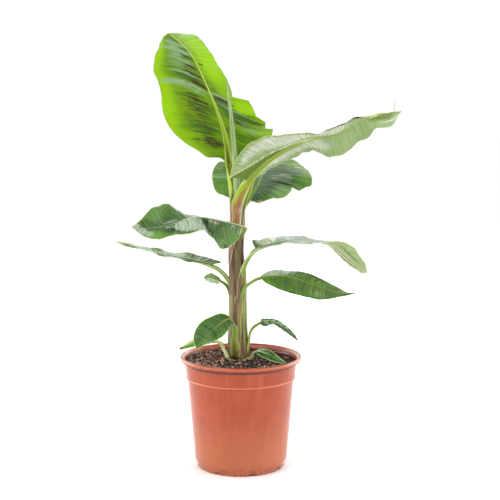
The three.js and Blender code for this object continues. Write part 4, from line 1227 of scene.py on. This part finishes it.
# The grown leaves up the pseudostem, dark and glossy above and pale beneath, each on a grooved stalk.
GROWN_GLOW = 0.1
GROWN = {
    "grown_leaf_back": ({
        "foot": [-2, 10, 354], "stalk": [[1, 22, 362]],
        "rib": [[8, 40, 371], [26, 90, 394], [34, 150, 413], [32, 205, 425]],
        "ripple": 4, "waves": 3, "stalk_radius": 4, "columns": 30, "pleats": 0.3,
        "left": {"fold": [-5, 5, 8, 8], "curl": [-10, -12, -20],
                 "margin": [[(0, 0.5, 0.1), (0.05, 32.8, 8.6), (0.1, 50, 12.7), (0.2, 64.2, 5.5),
                             (0.3, 67.8, -2.7), (0.4, 74.5, 7.4), (0.5, 78, 12), (0.6, 74, 14),
                             (0.7, 66, 15), (0.8, 52, 14), (0.9, 33, 8), (1, 0.3, 0)]]},
        "right": {"fold": [-10, 2, 8, 5], "curl": [-10, -15, -20],
                  "margin": [[(0, 0.5, 0.2), (0.04, 7.7, -0.2), (0.08, 15.3, -7), (0.12, 21.3, -10.1),
                              (0.17, 31, -14.1), (0.22, 44.7, -22), (0.27, 48.5, -21.3),
                              (0.31, 50.6, -12.8), (0.345, 48.7, 1.6), (0.36, 46.1, 12.4)],
                             [(0.36, 50.2, 7.2), (0.375, 55, -9), (0.4, 62.1, -20.8), (0.43, 67.6, -18.8),
                              (0.47, 75.8, -26.5), (0.51, 75.7, -25.8), (0.56, 73, -21.1),
                              (0.61, 69.3, -7.9), (0.67, 66, 2), (0.73, 62, 6), (0.79, 56, 10),
                              (0.85, 48, 10), (0.9, 38, 6), (0.95, 24, 4), (1, 0.3, 0)]]},
        "turn": 162, "leaves": (350, 366), "proud": 0.1,
        "sheath": {"from": 310, "left": [(320, 80), (364, 40)], "right": [(320, 90), (364, 40)]},
        "marks": {
            "bloom": [(1, 0.62, 0.85, 0.1, 0.2, 0.5), (-1, 0.42, 0.35, 0.09, 0.4, 0.55),
                      (-1, 0.2, 0.2, 0.08, 0.3, 0.4), (-1, 0.5, 0.5, 0.05, 0.4, 0.4),
                      (-1, 0.7, 0.8, 0.02, 0.12, 0.9), (-1, 0.1, 0.9, 0.03, 0.2, 0.7)],
            "shade": [(-1, 0.42, 0.35, 0.08, 0.45, 0.6), (-1, 0.37, 0.6, 0.02, 0.4, 0.6),
                      (-1, 0.1, 0.5, 0.05, 0.4, 0.5), (1, 0.25, 0.9, 0.1, 0.1, 0.4)],
            "fresh": [(-1, 0.27, 0.8, 0.07, 0.3, 0.9), (-1, 0.75, 0.8, 0.08, 0.4, 1),
                      (-1, 0.5, 0.85, 0.05, 0.2, 0.7), (1, 0.3, 0.6, 0.3, 0.7, 0.8)],
            "stain": [(-1, 0.4, 0.4, 0.16, 0.4, 0.46), (-1, 0.12, 0.5, 0.06, 0.4, 0.46),
                      (1, 0.5, 0.3, 0.2, 0.3, 0.4)],
        },
    }, {"seed": 21.0, "bloom": paint(200, 204, 186), "bloom_amount": 0.2, "shade": paint(40, 36, 28),
        "gloss": 0.6, "fresh": paint(92, 140, 30), "stain": paint(66, 44, 40), "upper": paint(54, 96, 22),
        "upper_streak": paint(34, 66, 22), "upper_edge": paint(86, 130, 40)},
        ["leaf_back"]),
    "grown_leaf_left_broad": ({
        "foot": [3, -6, 328], "stalk": [[5, -16, 340]],
        "rib": [[1, -25, 346], [-25, -38, 353], [-51, -44, 358], [-68, -48, 358],
                [-92, -56, 350], [-121, -62, 345], [-145, -70, 348]],
        "ripple": 1.5, "waves": 2, "stalk_radius": 3.4, "taper": 3, "columns": 30, "step": 1.1,
        "pleats": 0.26,
        "left": {"fold": [-78, -74, -52, -40, -35, -30], "bow": 0.6,
                 "margin": [[(0, 0.5, 0), (0.04, 8.9, -5), (0.08, 20.6, -9), (0.12, 28.4, -10),
                             (0.16, 34, -11), (0.2, 37.8, -12), (0.25, 39.8, -12.2), (0.3, 34.6, -12.3),
                             (0.35, 30.5, -12.5), (0.4, 29, -12.7), (0.45, 28.1, -12.8), (0.5, 27.8, -13),
                             (0.55, 27.4, -11), (0.6, 26.6, -9), (0.66, 21.5, -5.5), (0.72, 20.6, -2),
                             (0.78, 21.6, 0.1), (0.86, 19.6, 3), (0.93, 15.1, 1.5), (1, 0.3, 0)]]},
        "right": {"fold": [-40, -30, -2, 50, 52, 25],
                  "margin": [[(0, 0.5, 1.2), (0.05, 12.1, 1.9), (0.1, 12.3, 5.8), (0.2, 14.1, 5.1),
                              (0.3, 23.2, 4), (0.4, 15.8, -0.3), (0.45, 9.5, 2.1), (0.5, 18.5, 1.3),
                              (0.55, 24.9, -1.7), (0.6, 32.5, -3), (0.65, 33.5, 0.8), (0.7, 31.4, 2.9),
                              (0.75, 31.6, 3.9), (0.8, 26.4, 4.3), (0.85, 19.3, 4.7), (0.9, 12, 4.5),
                              (0.95, 6.3, 2.4), (1, 0.3, 0)]]},
        "turn": 31, "leaves": (322, 342), "proud": 0.3,
        "sheath": {"from": 240, "left": [(270, 80), (312, 40), (330, 12)],
                   "right": [(240, 110), (270, 92), (300, 56), (327, 24), (336, 12)]},
        "marks": {
            "bloom": [(1, 0.48, 0.5, 0.09, 0.6, 2), (1, 0.6, 0.4, 0.06, 0.4, 1.4),
                      (1, 0.7, 0.2, 0.05, 0.15, 0.8), (1, 0.1, 0.25, 0.04, 0.15, 0.6),
                      (-1, 0.95, 0.5, 0.05, 0.6, 1.2), (1, 0.93, 0.4, 0.08, 0.6, 1.2),
                      (1, 0.84, 0.6, 0.06, 0.4, 0.6), (1, 0.27, 0.12, 0.08, 0.1, 1),
                      (-1, 0.64, 0.12, 0.14, 0.1, 0.9), (-1, 0.4, 0.3, 0.1, 0.5, 0.7)],
            "shade": [(1, 0.36, 0.45, 0.035, 0.5, 0.9), (1, 0.66, 0.6, 0.03, 0.3, 0.9),
                      (1, 0.22, 0.5, 0.14, 0.6, 0.4), (1, 0.2, 0.95, 0.02, 0.1, 0.9),
                      (-1, 0.53, 0.75, 0.06, 0.3, 0.7), (1, 0.03, 0.3, 0.03, 0.4, 0.8)],
            "fresh": [(1, 0.8, 0.7, 0.07, 0.4, 1.1), (-1, 0.76, 0.6, 0.12, 0.4, 0.6),
                      (1, 0.14, 0.6, 0.1, 0.4, 0.5)],
            "stain": [(-1, 0.64, 0.24, 0.12, 0.07, 0.5), (-1, 0.8, 0.26, 0.06, 0.06, 0.5),
                      (1, 0.25, 0.06, 0.06, 0.06, 0.7), (1, -2.5, 0.5, 3, 0.8, 0.9),
                      (-1, -2.5, 0, 3, 0.3, 0.7)],
        },
    }, {"seed": 5.0, "slant": -0.6, "sheath": paint(106, 88, 58), "sheath_dark": paint(98, 76, 54),
        "sheath_pale": paint(146, 134, 88), "stain": paint(112, 84, 82), "stalk": paint(84, 112, 40),
        "margin": paint(214, 222, 150), "bloom_spread": 0.45, "upper": paint(66, 102, 42),
        "upper_edge": paint(86, 126, 54), "fresh": paint(104, 148, 58), "rib": paint(186, 196, 150),
        "rib_line": 0.9, "bloom": paint(182, 196, 176)},
        ["leaf_left_broad"]),
    "grown_leaf_left_slender": ({
        "foot": [-8, -2, 243], "stalk": [[-17, 0, 265], [-29, 0, 279]],
        "rib": [[-43, 2, 286], [-66, 5, 292], [-95, 8, 297], [-132, 10, 307], [-180, 14, 318]],
        "ripple": 1.5, "waves": 3, "stalk_radius": 3,
        "left": {"fold": [-12, -12, -14, -10],
                 "margin": [[(0, 0.5, -2.1), (0.05, 5.1, -0.6), (0.1, 4.4, 1.2), (0.2, 5.7, 3.4),
                             (0.3, 5.6, 3.3), (0.4, 6, 2.5), (0.5, 6, 2), (0.6, 5.6, 1.5), (0.7, 7.8, 0),
                             (0.8, 5, 1.5), (0.9, 3, 1), (1, 0.3, 0)]]},
        "right": {"fold": [20, 16, 14, 10],
                  "margin": [[(0, 6, -6), (0.02, 18.1, -15.2), (0.06, 19.5, -9.5), (0.12, 19.5, -6.4),
                              (0.2, 18.6, -2.2), (0.3, 20.6, -0.5), (0.4, 18, 2), (0.5, 12, 2.5),
                              (0.6, 9, 3), (0.7, 10, 3.4), (0.8, 5.7, 3.3), (0.9, 4.7, 2), (1, 0.3, 0)]]},
        "turn": -90, "leaves": (240, 268), "proud": 0.45,
        "sheath": {"left": [(226, 68), (250, 66), (258, 26), (266, 14)],
                   "right": [(226, 80), (250, 60), (262, 20)]},
        "marks": {
            "bloom": [(-1, 0.1, 0.6, 0.08, 0.4, 0.7), (-1, 0.3, 0.6, 0.05, 0.4, 0.8),
                      (1, 0.5, 0.5, 0.3, 0.6, 0.7), (-1, 0.6, 0.5, 0.2, 0.5, 0.6)],
            "shade": [(-1, 0.4, 0.4, 0.05, 0.3, 0.8), (-1, 0.2, 0.5, 0.03, 0.5, 0.8),
                      (1, 0.25, 0.7, 0.1, 0.4, 0.6), (1, -0.45, 0.9, 0.5, 0.2, 0.9),
                      (-1, -0.45, 0.9, 0.5, 0.2, 0.9), (-1, 0.06, 0.5, 0.03, 0.4, 1)],
            "fresh": [(1, 0.95, 0.5, 0.08, 0.8, 1), (-1, 0.95, 0.5, 0.08, 0.8, 1)],
        },
    }, {"seed": 8.0, "upper": paint(112, 136, 84), "bloom": paint(170, 178, 156),
        "fresh": paint(150, 160, 30), "shade": paint(52, 70, 20), "stalk": paint(98, 128, 40)},
        ["leaf_left_slender", "leaf_left_slender_stalk"]),
    "grown_leaf_left_small": ({
        "foot": [-14, 2, 236], "stalk": [[-19, 8, 254]],
        "rib": [[-28, 14, 261], [-41, 22, 265], [-53, 30, 265]],
        "stalk_radius": 2, "columns": 14, "step": 1.0,
        "left": {"fold": [-45, -40], "margin": [[(0, 0.5, -1.4), (0.15, 6.5, -3), (0.3, 8.6, -0.8),
                                                 (0.5, 8.6, -0.1), (0.7, 6.9, 0.7), (0.85, 3.8, 0.9),
                                                 (1, 0.3, 0)]]},
        "right": {"fold": [30, 25], "margin": [[(0, 0.5, 0.1), (0.15, 4.9, 1.7), (0.3, 6.7, 3.4),
                                                (0.5, 9.8, 6.4), (0.65, 10.6, 6.5), (0.8, 6.4, 4.4),
                                                (0.9, 2.6, 2.5), (1, 0.3, 0)]]},
        "turn": -119, "leaves": (236, 254), "proud": 0.3,
        "sheath": {"from": 215, "left": [(215, 30), (250, 12)], "right": [(215, 40), (250, 12)]},
        "marks": {"bloom": [(1, 0.5, 0.6, 0.4, 0.5, 1.6), (1, 0.1, 0.7, 0.2, 0.5, 1.4),
                            (-1, 0.5, 0.1, 0.3, 0.3, 0.8)],
                  "fresh": [(-1, 0.5, 0.7, 0.5, 0.6, 1)],
                  "shade": [(-1, 0.92, 0.4, 0.08, 0.8, 1)]},
    }, {"seed": 13.0, "upper": paint(124, 156, 40), "bloom": paint(200, 212, 180),
        "under": paint(168, 190, 130), "fresh": paint(122, 152, 8),
        "shade": paint(66, 74, 14)}, ["leaf_left_small"]),
    "grown_leaf_right_arching": ({
        "foot": [5, -6, 259], "stalk": [[5, -9, 284], [12, -9, 300]],
        "rib": [[23, -6, 310], [58, 0, 319], [97, 12, 321], [129, 28, 312], [157, 48, 290],
                [184, 66, 266]],
        "ripple": 1.5, "waves": 3, "stalk_radius": 3, "columns": 24,
        "left": {"fold": [22, 5, -1, -10, -10],
                 "margin": [[(0, 0.5, -3.5), (0.02, 25.7, -3.5), (0.06, 21.9, -3.5), (0.1, 26.4, -0.5),
                             (0.15, 30, 2), (0.22, 31, 2.6), (0.3, 25.1, 2.4), (0.4, 29, 4),
                             (0.45, 28, 3), (0.55, 22, 1), (0.6, 18.5, 7), (0.7, 19.6, 12.3),
                             (0.8, 17.2, 11.4), (0.9, 15.8, 12.8), (0.95, 13.6, 12.3), (1, 0.3, 0)]]},
        "right": {"fold": [0, -5, 5, 20, 15],
                  "margin": [[(0, 0.5, 0.2), (0.05, 13.8, 2.4), (0.1, 12, 4), (0.15, 12, 4), (0.2, 18, 3),
                              (0.25, 28.2, 0.3), (0.3, 30.6, 0.3), (0.35, 33.4, -1.3), (0.4, 33, 0),
                              (0.44, 31, 1), (0.48, 31, 1), (0.52, 30, 1), (0.57, 27, 5), (0.65, 28, 3.9),
                              (0.7, 22.5, 6.5), (0.8, 16.1, 6.8), (0.9, 9, 4.8), (1, 0.3, 0)]]},
        "turn": 64, "leaves": (262, 296), "proud": 0.35,
        "sheath": {"from": 200, "left": [(240, 90), (280, 50), (290, 20)],
                   "right": [(200, 70), (260, 56), (280, 46), (283, 39), (289, 16)]},
        "marks": {
            "bloom": [(1, 0.09, 0.6, 0.07, 0.5, 1.7), (1, 0.25, 0.5, 0.06, 0.5, 0.5),
                      (-1, 0.3, 0.6, 0.1, 0.4, 0.6), (1, 0.48, 0.6, 0.05, 0.4, 0.6),
                      (1, 0.8, 0.22, 0.12, 0.06, 1), (1, 0.8, 0.5, 0.12, 0.06, 0.9),
                      (1, 0.8, 0.8, 0.12, 0.08, 0.8), (-1, 0.8, 0.6, 0.1, 0.1, 0.7)],
            "shade": [(1, 0.02, 0.8, 0.012, 0.3, 0.9), (1, 0.4, 0.5, 0.05, 0.6, 1),
                      (1, 0.17, 0.5, 0.02, 0.4, 0.7), (-1, 0.4, 0.4, 0.05, 0.6, 1)],
            "brown": [(1, 0.76, 0.3, 0.18, 0.06, 1), (1, 0.76, 0.72, 0.18, 0.06, 1),
                      (-1, 0.74, 0.3, 0.14, 0.07, 0.9)],
            "line": [(1, 0.76, 0.5, 0.18, 0.07, 1), (1, 0.76, 0.1, 0.18, 0.07, 1),
                     (1, 0.76, 0.9, 0.18, 0.06, 1)],
        },
    }, {"seed": 17.0, "bloom": paint(196, 200, 176), "bloom_amount": 0.2, "under": paint(170, 188, 130),
        "shade": paint(60, 76, 38), "under_streak": paint(136, 164, 92), "rib": paint(206, 214, 176),
        "withered": paint(58, 74, 26)},
        ["leaf_right_arching", "leaf_right_arching_stalk", "leaf_right_arching_tip"]),
    "grown_leaf_right_lower": ({
        "foot": [3, -9, 230], "stalk": [[3, -12, 252], [12, -15, 263]],
        "rib": [[27, -18, 271], [57, -28, 275], [82, -36, 271], [111, -44, 261], [135, -50, 255],
                [157, -56, 256]],
        "ripple": 1, "waves": 2, "bank": [20, 28, 30, 10], "stalk_radius": 2.5, "columns": 26,
        "brown_from": 0.94,
        "left": {"fold": [-10, -10],
                 "margin": [[(0, 0.5, -1.7), (0.03, 13, -3.8), (0.06, 18.4, -4.4), (0.1, 22.2, -5.5),
                             (0.15, 22.5, -4), (0.2, 21.9, -0.7), (0.3, 20.6, 2), (0.4, 21.6, 4.2),
                             (0.5, 20.9, 4.4), (0.6, 18.6, 4.9), (0.7, 19.6, 4.4), (0.8, 15.6, 3.5),
                             (0.88, 3.8, 3.4), (0.95, 2.1, 0.4), (1, 0.3, 0)]]},
        "right": {"fold": [-12, -12],
                  "margin": [[(0, 0.5, 0.6), (0.05, 10.3, 1.2), (0.1, 16.7, 2.5), (0.2, 23.9, 3.9),
                              (0.3, 27.7, 6.5), (0.4, 26, 6.2), (0.5, 22.5, 6.4), (0.6, 20.2, 5.4),
                              (0.7, 16.6, 3), (0.8, 11.6, 1.3), (0.9, 5.6, -0.7), (0.95, 3.5, -1.1),
                              (1, 0.3, 0)]]},
        "turn": 62, "leaves": (230, 262), "proud": 0.55,
        "sheath": {"left": [(230, 60), (255, 20)],
                   "right": [(227, 82), (240, 62), (245, 46), (250, 24), (256, 8)]},
        "marks": {
            "bloom": [(1, 0.12, 0.5, 0.05, 0.4, 0.8), (1, 0.25, 0.5, 0.04, 0.3, 0.6),
                      (-1, 0.62, 0.6, 0.14, 0.5, 0.8), (-1, 0.2, 0.3, 0.08, 0.4, 0.5)],
            "brown": [(-1, -2.25, 0.25, 0.25, 0.2, 0.6)],
            "shade": [(-1, 0.35, 0.5, 0.03, 0.5, 0.7), (1, 0.55, 0.6, 0.05, 0.5, 0.6),
                      (1, 0.4, 0.9, 0.3, 0.06, 0.8), (-1, 0.5, 0.95, 0.4, 0.06, 0.8)],
            "fresh": [(1, 0.6, 0.4, 0.15, 0.3, 0.5), (-1, 0.1, 0.7, 0.08, 0.3, 0.6)],
        },
    }, {"seed": 23.0, "margin": paint(84, 96, 50), "rib_line": 0.3, "bloom_spread": 0.5,
        "bloom_amount": 0.3, "upper": paint(84, 114, 46), "upper_streak": paint(54, 84, 34),
        "withered": paint(150, 92, 60),
        "bloom": paint(146, 164, 128)}, ["leaf_right_lower", "leaf_right_lower_stalk"]),
}
for name, (leaf, changes, nodes) in GROWN.items():
    grow_leaf(name, leaf, leaf_finish(name, GROWN_GLOW, **changes), "grown_leaf", *nodes)


# The small leaves at the foot, the oldest and outermost, on pale stalks that rise from the soil.
# One of them has the same margin on both halves.
LOW_BACK_MARGIN = [[(0, 0.5, 0.1), (0.03, 2.7, 0.3), (0.1, 5.1, 0.6), (0.2, 6.9, 0.8), (0.35, 7.9, 1),
                    (0.5, 7.9, 1), (0.65, 7.2, 0.9), (0.8, 5.5, 0.7), (0.9, 3.6, 0.4), (0.96, 1.9, 0.2),
                    (1, 0.3, 0)]]
LOW = {
    "low_leaf_left": ({
        "foot": [-9, -15, 152], "stalk": [[-9, -17, 183]],
        "rib": [[-8, -20, 204], [-18, -27, 214], [-38, -42, 202], [-53, -54, 189], [-60, -62, 179]],
        "bank": [-20, -32, -28], "stalk_radius": 3, "flare": 1.3, "step": 1.0, "columns": 24,
        "left": {"fold": [0, 0],
                 "margin": [[(0, 0.5, 0.5), (0.05, 8, 2), (0.1, 14, 5), (0.15, 16.4, 5.9),
                             (0.22, 16.4, 7.3), (0.3, 17.6, 7.5), (0.4, 17.4, 6.8), (0.5, 16.5, 6.8),
                             (0.6, 14.7, 6.5), (0.7, 10.9, 4.6), (0.8, 7.6, 2.2), (0.9, 4.3, 1),
                             (1, 0.3, 0)]]},
        "right": {"fold": [0, 0],
                  "margin": [[(0, 0.5, -1.2), (0.03, 6, 0), (0.07, 10, -1), (0.12, 13.3, -1.5),
                              (0.2, 15.2, 1.6), (0.3, 17.7, 3), (0.4, 20.7, 1.6), (0.5, 21.3, 2.6),
                              (0.6, 20.3, 3.6), (0.7, 17.6, 4), (0.8, 13.6, 3), (0.9, 7.6, 1),
                              (0.96, 2.6, 0.7), (1, 0.3, 0)]]},
        "turn": -16, "leaves": (156, 196), "proud": 0.9,
        "sheath": {"left": [(150, 38), (190, 14)], "right": [(150, 38), (190, 14)]},
        "marks": {
            "bloom": [(-1, 0.3, 0.5, 0.1, 0.4, 0.5), (1, 0.6, 0.5, 0.1, 0.4, 0.5),
                      (-1, 0.04, 0.5, 0.03, 0.6, 0.9)],
            "fresh": [(1, 0.8, 0.5, 0.1, 0.4, 0.6), (1, -0.1, 0.4, 0.2, 0.8, 0.9),
                      (-1, -0.1, 0.4, 0.2, 0.8, 0.9)],
            # The first two brown marks are painted shade in the hollow at the foot of the stalk; the other
            # two darken its middle.
            "brown": [(1, -0.915, 0.3, 0.05, 0.5, 1.2), (-1, -0.915, 0.3, 0.05, 0.5, 1.2),
                      (1, -0.75, 0.02, 0.25, 0.16, 0.9), (-1, -0.75, 0.02, 0.25, 0.2, 0.9)],
        },
    }, {"seed": 31.0, "bloom_spread": 0.5, "bloom_amount": 0.3, "rib_line": 0.75,
        "upper": paint(78, 112, 52), "groove": paint(72, 108, 46), "rib": paint(96, 130, 62),
        "margin": paint(206, 212, 150), "bloom": paint(140, 156, 128), "stalk": paint(138, 138, 40),
        "stalk_streak": paint(160, 162, 76), "sheath": paint(140, 132, 60),
        "sheath_dark": paint(150, 156, 90), "sheath_streak": paint(84, 54, 34),
        "withered": paint(46, 24, 20)},
        ["leaf_low_left", "leaf_low_left_stalk"]),
    "low_leaf_left_back": ({
        "foot": [-16, -10, 152], "stalk": [[-22, -7, 166]],
        "rib": [[-31, -1, 177], [-58, 4, 176], [-88, 8, 165]],
        "stalk_radius": 2.5, "columns": 14, "step": 1.0, "brown_from": 0.84,
        "left": {"fold": [-32, -32], "margin": LOW_BACK_MARGIN},
        "right": {"fold": [32, 32], "margin": LOW_BACK_MARGIN},
        "turn": -70, "leaves": (150, 158), "proud": 0.6,
        "sheath": {"left": [(150, 18)], "right": [(150, 18)]},
        "marks": {"bloom": [(-1, 0.75, 0.6, 0.25, 0.5, 1.2)], "fresh": [(1, 0.4, 0.5, 0.5, 0.8, 0.8)]},
    }, {"seed": 37.0, "stalk": paint(232, 232, 178), "stalk_streak": paint(244, 244, 214),
        "keel": paint(226, 228, 170), "groove": paint(226, 228, 170), "upper": paint(88, 136, 24),
        "under": paint(120, 150, 60), "bloom": paint(190, 196, 130), "fresh": paint(96, 148, 16),
        "sheath": paint(216, 218, 150), "sheath_dark": paint(190, 190, 130),
        "sheath_streak": paint(150, 150, 90)},
        ["leaf_low_left_back"]),
    "low_leaf_right": ({
        "foot": [11, -4, 152], "stalk": [[11, -6, 178], [14, -6, 194]],
        "rib": [[26, -6, 205], [41, -8, 208], [61, -10, 200], [81, -12, 181]],
        "stalk_radius": 2, "columns": 16, "step": 1.0, "brown_from": 0.75,
        "left": {"fold": [25, 15, 10],
                 "margin": [[(0, 0.5, 2.7), (0.05, 8, 0.5), (0.12, 7.1, 1), (0.2, 6.2, 3.1),
                             (0.3, 8, 3.4), (0.4, 9, 4.3), (0.5, 7.7, 4.4), (0.6, 5.3, 4), (0.7, 5, 4.4),
                             (0.8, 6.3, 3.6), (0.9, 3.2, 2.4), (1, 0.3, 0)]]},
        "right": {"fold": [-25, -20, -10],
                  "margin": [[(0, 0.5, 0.1), (0.06, 10.4, 0.9), (0.12, 13.9, 3.4), (0.18, 11.1, 4.9),
                              (0.25, 6.3, 4.4), (0.3, 5.9, 5.1), (0.4, 7, 5.4), (0.5, 10, 5.9),
                              (0.6, 9.6, 5.7), (0.7, 7.6, 4.9), (0.8, 5.7, 3.8), (0.9, 2.7, 2.5),
                              (1, 0.3, 0)]]},
        "turn": 75, "leaves": (152, 186), "proud": 0.6,
        "sheath": {"left": [(150, 30), (180, 12)], "right": [(150, 30), (180, 12)]},
        "marks": {
            "bloom": [(1, 0.3, 0.5, 0.1, 0.3, 0.8), (-1, 0.15, 0.4, 0.06, 0.3, 0.9),
                      (1, 0.6, 0.5, 0.06, 0.5, 0.8)],
            "shade": [(-1, 0.3, 0.7, 0.15, 0.3, 0.8), (1, 0.02, 0.6, 0.03, 0.6, 1),
                      (-1, 0.7, 0.6, 0.1, 0.5, 0.7)],
        },
    }, {"seed": 41.0, "stalk": paint(160, 176, 70), "stalk_streak": paint(210, 214, 160),
        "margin": paint(90, 96, 56), "keel": paint(150, 166, 70), "withered": paint(44, 30, 26)},
        ["leaf_low_right", "leaf_low_right_stalk"]),
    "low_leaf_right_front": ({
        "foot": [8, -13, 152], "stalk": [[14, -15, 158]],
        "rib": [[20, -18, 167], [35, -26, 166], [50, -34, 160], [63, -40, 156]],
        "stalk_radius": 2.2, "columns": 16, "step": 1.0,
        "left": {"fold": [20, 20],
                 "margin": [[(0, 0.5, -0.5), (0.1, 6.4, -0.8), (0.2, 9.2, 0.2), (0.3, 9.8, 1.7),
                             (0.4, 7.6, 3.3), (0.5, 7.6, 3.2), (0.6, 6.9, 3.8), (0.7, 4.8, 4.3),
                             (0.8, 1.8, 4.9), (0.9, 0.5, 2.9), (1, 0.3, 0)]]},
        "right": {"fold": [-35, -35, -20],
                  "margin": [[(0, 0.5, 0.5), (0.1, 5.5, 0.8), (0.2, 7.8, 2.6), (0.3, 9.2, 4.3),
                              (0.4, 8.4, 4.9), (0.5, 6.8, 5.3), (0.6, 6.1, 4.8), (0.7, 5.8, 4),
                              (0.8, 4.9, 2.9), (0.9, 3.6, 1.8), (1, 0.3, 0)]]},
        "turn": 45, "leaves": (150, 157), "proud": 0.6,
        "sheath": {"left": [(150, 14)], "right": [(150, 14)]},
        "marks": {"bloom": [(1, 0.15, 0.6, 0.15, 0.5, 0.7), (-1, 0.4, 0.5, 0.2, 0.5, 0.4)],
                  "shade": [(1, 0.5, 0.5, 0.05, 0.6, 0.6), (-1, 0.25, 0.6, 0.04, 0.6, 0.6)]},
    }, {"seed": 43.0, "stalk": paint(176, 182, 116), "stalk_streak": paint(210, 212, 164),
        "keel": paint(172, 180, 110), "rib_line": 0.75, "rib": paint(96, 134, 62),
        "groove": paint(150, 166, 90)},
        ["leaf_low_right_front"]),
}
for name, (leaf, changes, nodes) in LOW.items():
    grow_leaf(name, leaf, leaf_finish(name, GROWN_GLOW, **changes), "grown_leaf", *nodes)


# At the foot, in front of the oldest leaf, stands the stub of a sheath that has been cut down to the soil.
STUB_FROM = -44
STUB_TO = 4
STUB_STEPS = 24
STUB_UNEVEN = 1.2
STUB_SUNK = 0.4
STUB_SECTION = [(17.2, 149.0), (18.3, 149.0), (18.6, 153.6), (17.7, 154.2)]
turns = np.radians(np.linspace(STUB_FROM, STUB_TO, STUB_STEPS + 1))
sag = STUB_UNEVEN * np.sin(np.linspace(0, 5, STUB_STEPS + 1)) - STUB_SUNK
corners = [stem_point(np.full(len(turns), height), turns, radius) for radius, height in STUB_SECTION]
for corner in corners[2:]:
    corner[:, 2] += sag
rings = np.stack(corners, 1)
verts = np.concatenate([rings.reshape(-1, 3), rings[[0, -1]].mean(1)])
stub_finish = sheath_finish("cut_sheath", paint(176, 196, 110), paint(96, 112, 56), paint(220, 226, 180),
                            0.4)
stub = piece_from("cut_sheath", verts, tube_faces(STUB_STEPS + 1, len(STUB_SECTION)), stub_finish)
settle(stub, "grown_leaf")
